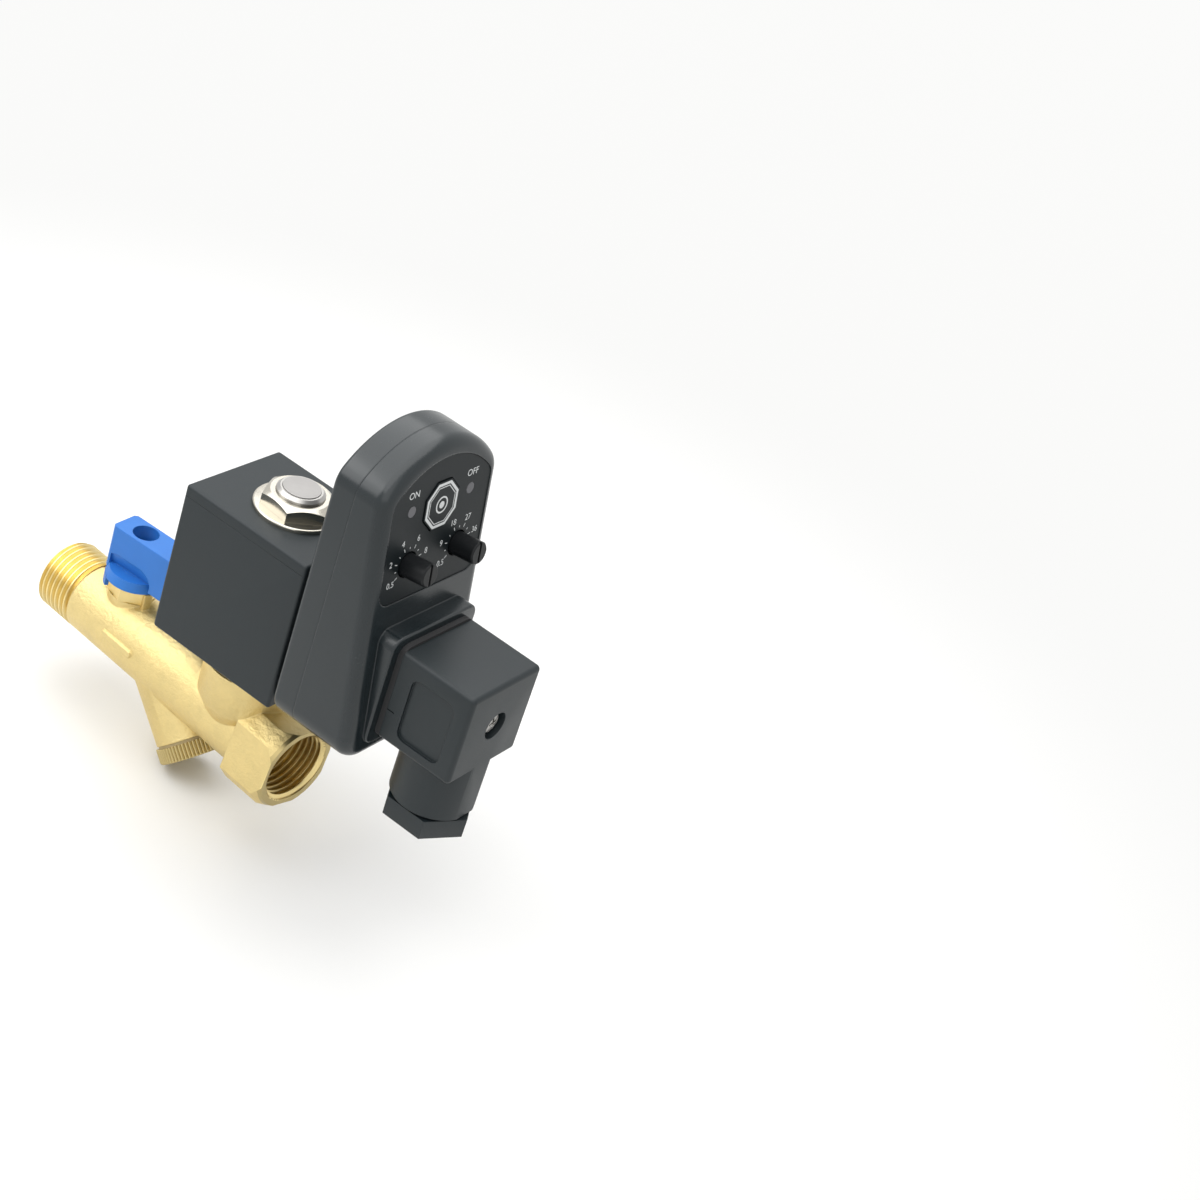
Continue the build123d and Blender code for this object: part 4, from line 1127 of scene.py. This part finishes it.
def add_lamp(name, target, offset, size, power):
    """A square soft lamp that stands off a point and faces it."""
    place = target + Vector(offset)
    data = bpy.data.lights.new(name, "AREA")
    data.shape = "SQUARE"
    data.size = size
    data.energy = power
    lamp = bpy.data.objects.new(name, data)
    lamp.location = place
    lamp.rotation_euler = (target - place).to_track_quat("-Z", "Y").to_euler()
    bpy.context.scene.collection.objects.link(lamp)


def seen_mask(shader):
    """1 where the camera, a mirror or glass sees the surface, and 0 for its light."""
    rays = shader.add("ShaderNodeLightPath", output="Is Camera Ray")
    glossy = shader.add("ShaderNodeLightPath", output="Is Glossy Ray")
    through = shader.add("ShaderNodeLightPath", output="Is Transmission Ray")
    return rays.combine("MAXIMUM", rays.combine("MAXIMUM", rays, glossy), through)


class DRAIN_OT_stage(bpy.types.Operator):
    """Pale floor, soft lamps, even surround and the camera"""

    bl_idname = "drain_valve.stage"
    bl_label = "Studio"

    def execute(self, context):
        settings = context.scene.drain_stage
        tone = tuple(context.scene.drain_colours.floor)
        self.add_floor(settings, tone)
        self.add_sky(settings)
        low, high = cad_box
        middle = (low + high) / 2
        add_lamp("top_lamp", middle, offset=(-0.20, 0.05, 0.80), size=1.3, power=10.5)
        add_lamp("side_lamp", middle, offset=(0.6, -0.6, 0.75), size=0.9, power=2.0)
        add_lamp("left_lamp", middle, offset=(-0.55, -0.70, 0.65), size=0.7, power=4.2)
        self.add_camera(settings)
        context.scene.view_settings.view_transform = "Standard"
        return {"FINISHED"}

    def add_floor(self, settings, tone):
        low, high = cad_box
        work = bmesh.new()
        place = Matrix.Translation((high.x / 2, 0.0, low.z))
        half = settings.floor_size / 2
        bmesh.ops.create_grid(work, x_segments=1, y_segments=1, size=half, matrix=place)
        mesh = bpy.data.meshes.new("floor")
        work.to_mesh(mesh)
        work.free()
        shader = Shader("floor")
        far = self.fade(shader, settings)
        glow = [c * settings.background for c in (1.0, 1.0, 0.99)]
        mesh.materials.append(shader.finish({
            "Base Color": shader.mix(far, tone, (0.0, 0.0, 0.0)),
            "Emission Color": shader.mix(far, (0.0, 0.0, 0.0), glow),
            "Emission Strength": 1.0,
            "Roughness": 0.8,
            "Specular IOR Level": 0.1,
        }))
        floor = bpy.data.objects.new("floor", mesh)
        bpy.context.scene.collection.objects.link(floor)

    def fade(self, shader, settings):
        """0 on the floor near the valve and 1 far away."""
        low, high = cad_box
        middle = (low + high) / 2
        inputs = {0: shader.place(), 1: (middle.x, middle.y, low.z)}
        away = shader.add("ShaderNodeVectorMath", {"operation": "DISTANCE"}, inputs, output=1)
        limits = {"Value": away, "From Min": settings.fade_start, "From Max": settings.fade_end}
        return shader.add("ShaderNodeMapRange", {"interpolation_type": "SMOOTHSTEP"}, limits)

    def add_sky(self, settings):
        world = bpy.data.worlds.new("surround")
        bpy.context.scene.world = world
        world.use_nodes = True
        shader = Shader.of_tree(world.node_tree)
        seen = seen_mask(shader)
        strength = shader.spread(seen, settings.world, settings.background)
        inputs = {"Color": (1.0, 1.0, 1.0, 1.0), "Strength": strength}
        light = shader.add("ShaderNodeBackground", inputs=inputs)
        output = shader.tree.nodes.new("ShaderNodeOutputWorld")
        shader.tree.links.new(light.socket, output.inputs["Surface"])

    def add_camera(self, settings):
        data = bpy.data.cameras.new("camera")
        data.lens = settings.lens
        data.sensor_width = 36.0
        data.clip_start = 0.01
        data.clip_end = 50.0
        camera = bpy.data.objects.new("camera", data)
        bpy.context.scene.collection.objects.link(camera)
        back = -Vector(settings.camera_forward).normalized()
        right = Vector(settings.camera_up).cross(back).normalized()
        axes = Matrix((right, back.cross(right), back)).transposed().to_4x4()
        camera.matrix_world = Matrix.Translation(settings.camera_place) @ axes
        bpy.context.scene.camera = camera


class DRAIN_PT_panel(bpy.types.Panel):
    """The drain valve's sizes and steps"""

    bl_label = "Drain valve"
    bl_idname = "DRAIN_PT_panel"
    bl_space_type = "VIEW_3D"
    bl_region_type = "UI"
    bl_category = "Drain valve"

    def draw(self, context):
        for name, group in settings_groups.items():
            box = self.layout.box()
            for prop in group.__annotations__:
                box.prop(getattr(context.scene, name), prop)
        for operator in operators:
            self.layout.operator(operator.bl_idname)


settings_groups = {
    "drain_threads": ThreadSizes,
    "drain_panel": PanelSizes,
    "drain_screws": ScrewSizes,
    "drain_seams": SeamSizes,
    "drain_web": WebSizes,
    "drain_pad": PadSizes,
    "drain_gland": GlandSizes,
    "drain_colours": FinishColours,
    "drain_stage": StageSettings,
}
operators = (
    DRAIN_OT_body,
    DRAIN_OT_valve_inside,
    DRAIN_OT_strainer,
    DRAIN_OT_lever,
    DRAIN_OT_coil,
    DRAIN_OT_timer,
    DRAIN_OT_print,
    DRAIN_OT_plug,
    DRAIN_OT_stage,
)


def register():
    for group in (*settings_groups.values(), *operators, DRAIN_PT_panel):
        bpy.utils.register_class(group)
    for name, group in settings_groups.items():
        setattr(bpy.types.Scene, name, PointerProperty(type=group))


def unregister():
    for name in settings_groups:
        delattr(bpy.types.Scene, name)
    for group in reversed((*settings_groups.values(), *operators, DRAIN_PT_panel)):
        bpy.utils.unregister_class(group)


def main():
    """Dresses the whole valve; its size before is noted once, when the model is loaded."""
    register()
    make_finishes(bpy.context.scene.drain_colours)
    bpy.ops.drain_valve.body()
    bpy.ops.drain_valve.valve_inside()
    bpy.ops.drain_valve.strainer()
    bpy.ops.drain_valve.lever()
    bpy.ops.drain_valve.coil()
    bpy.ops.drain_valve.timer()
    bpy.ops.drain_valve.print()
    bpy.ops.drain_valve.plug()
    bpy.ops.drain_valve.stage()


if __name__ == "__main__":
    main()
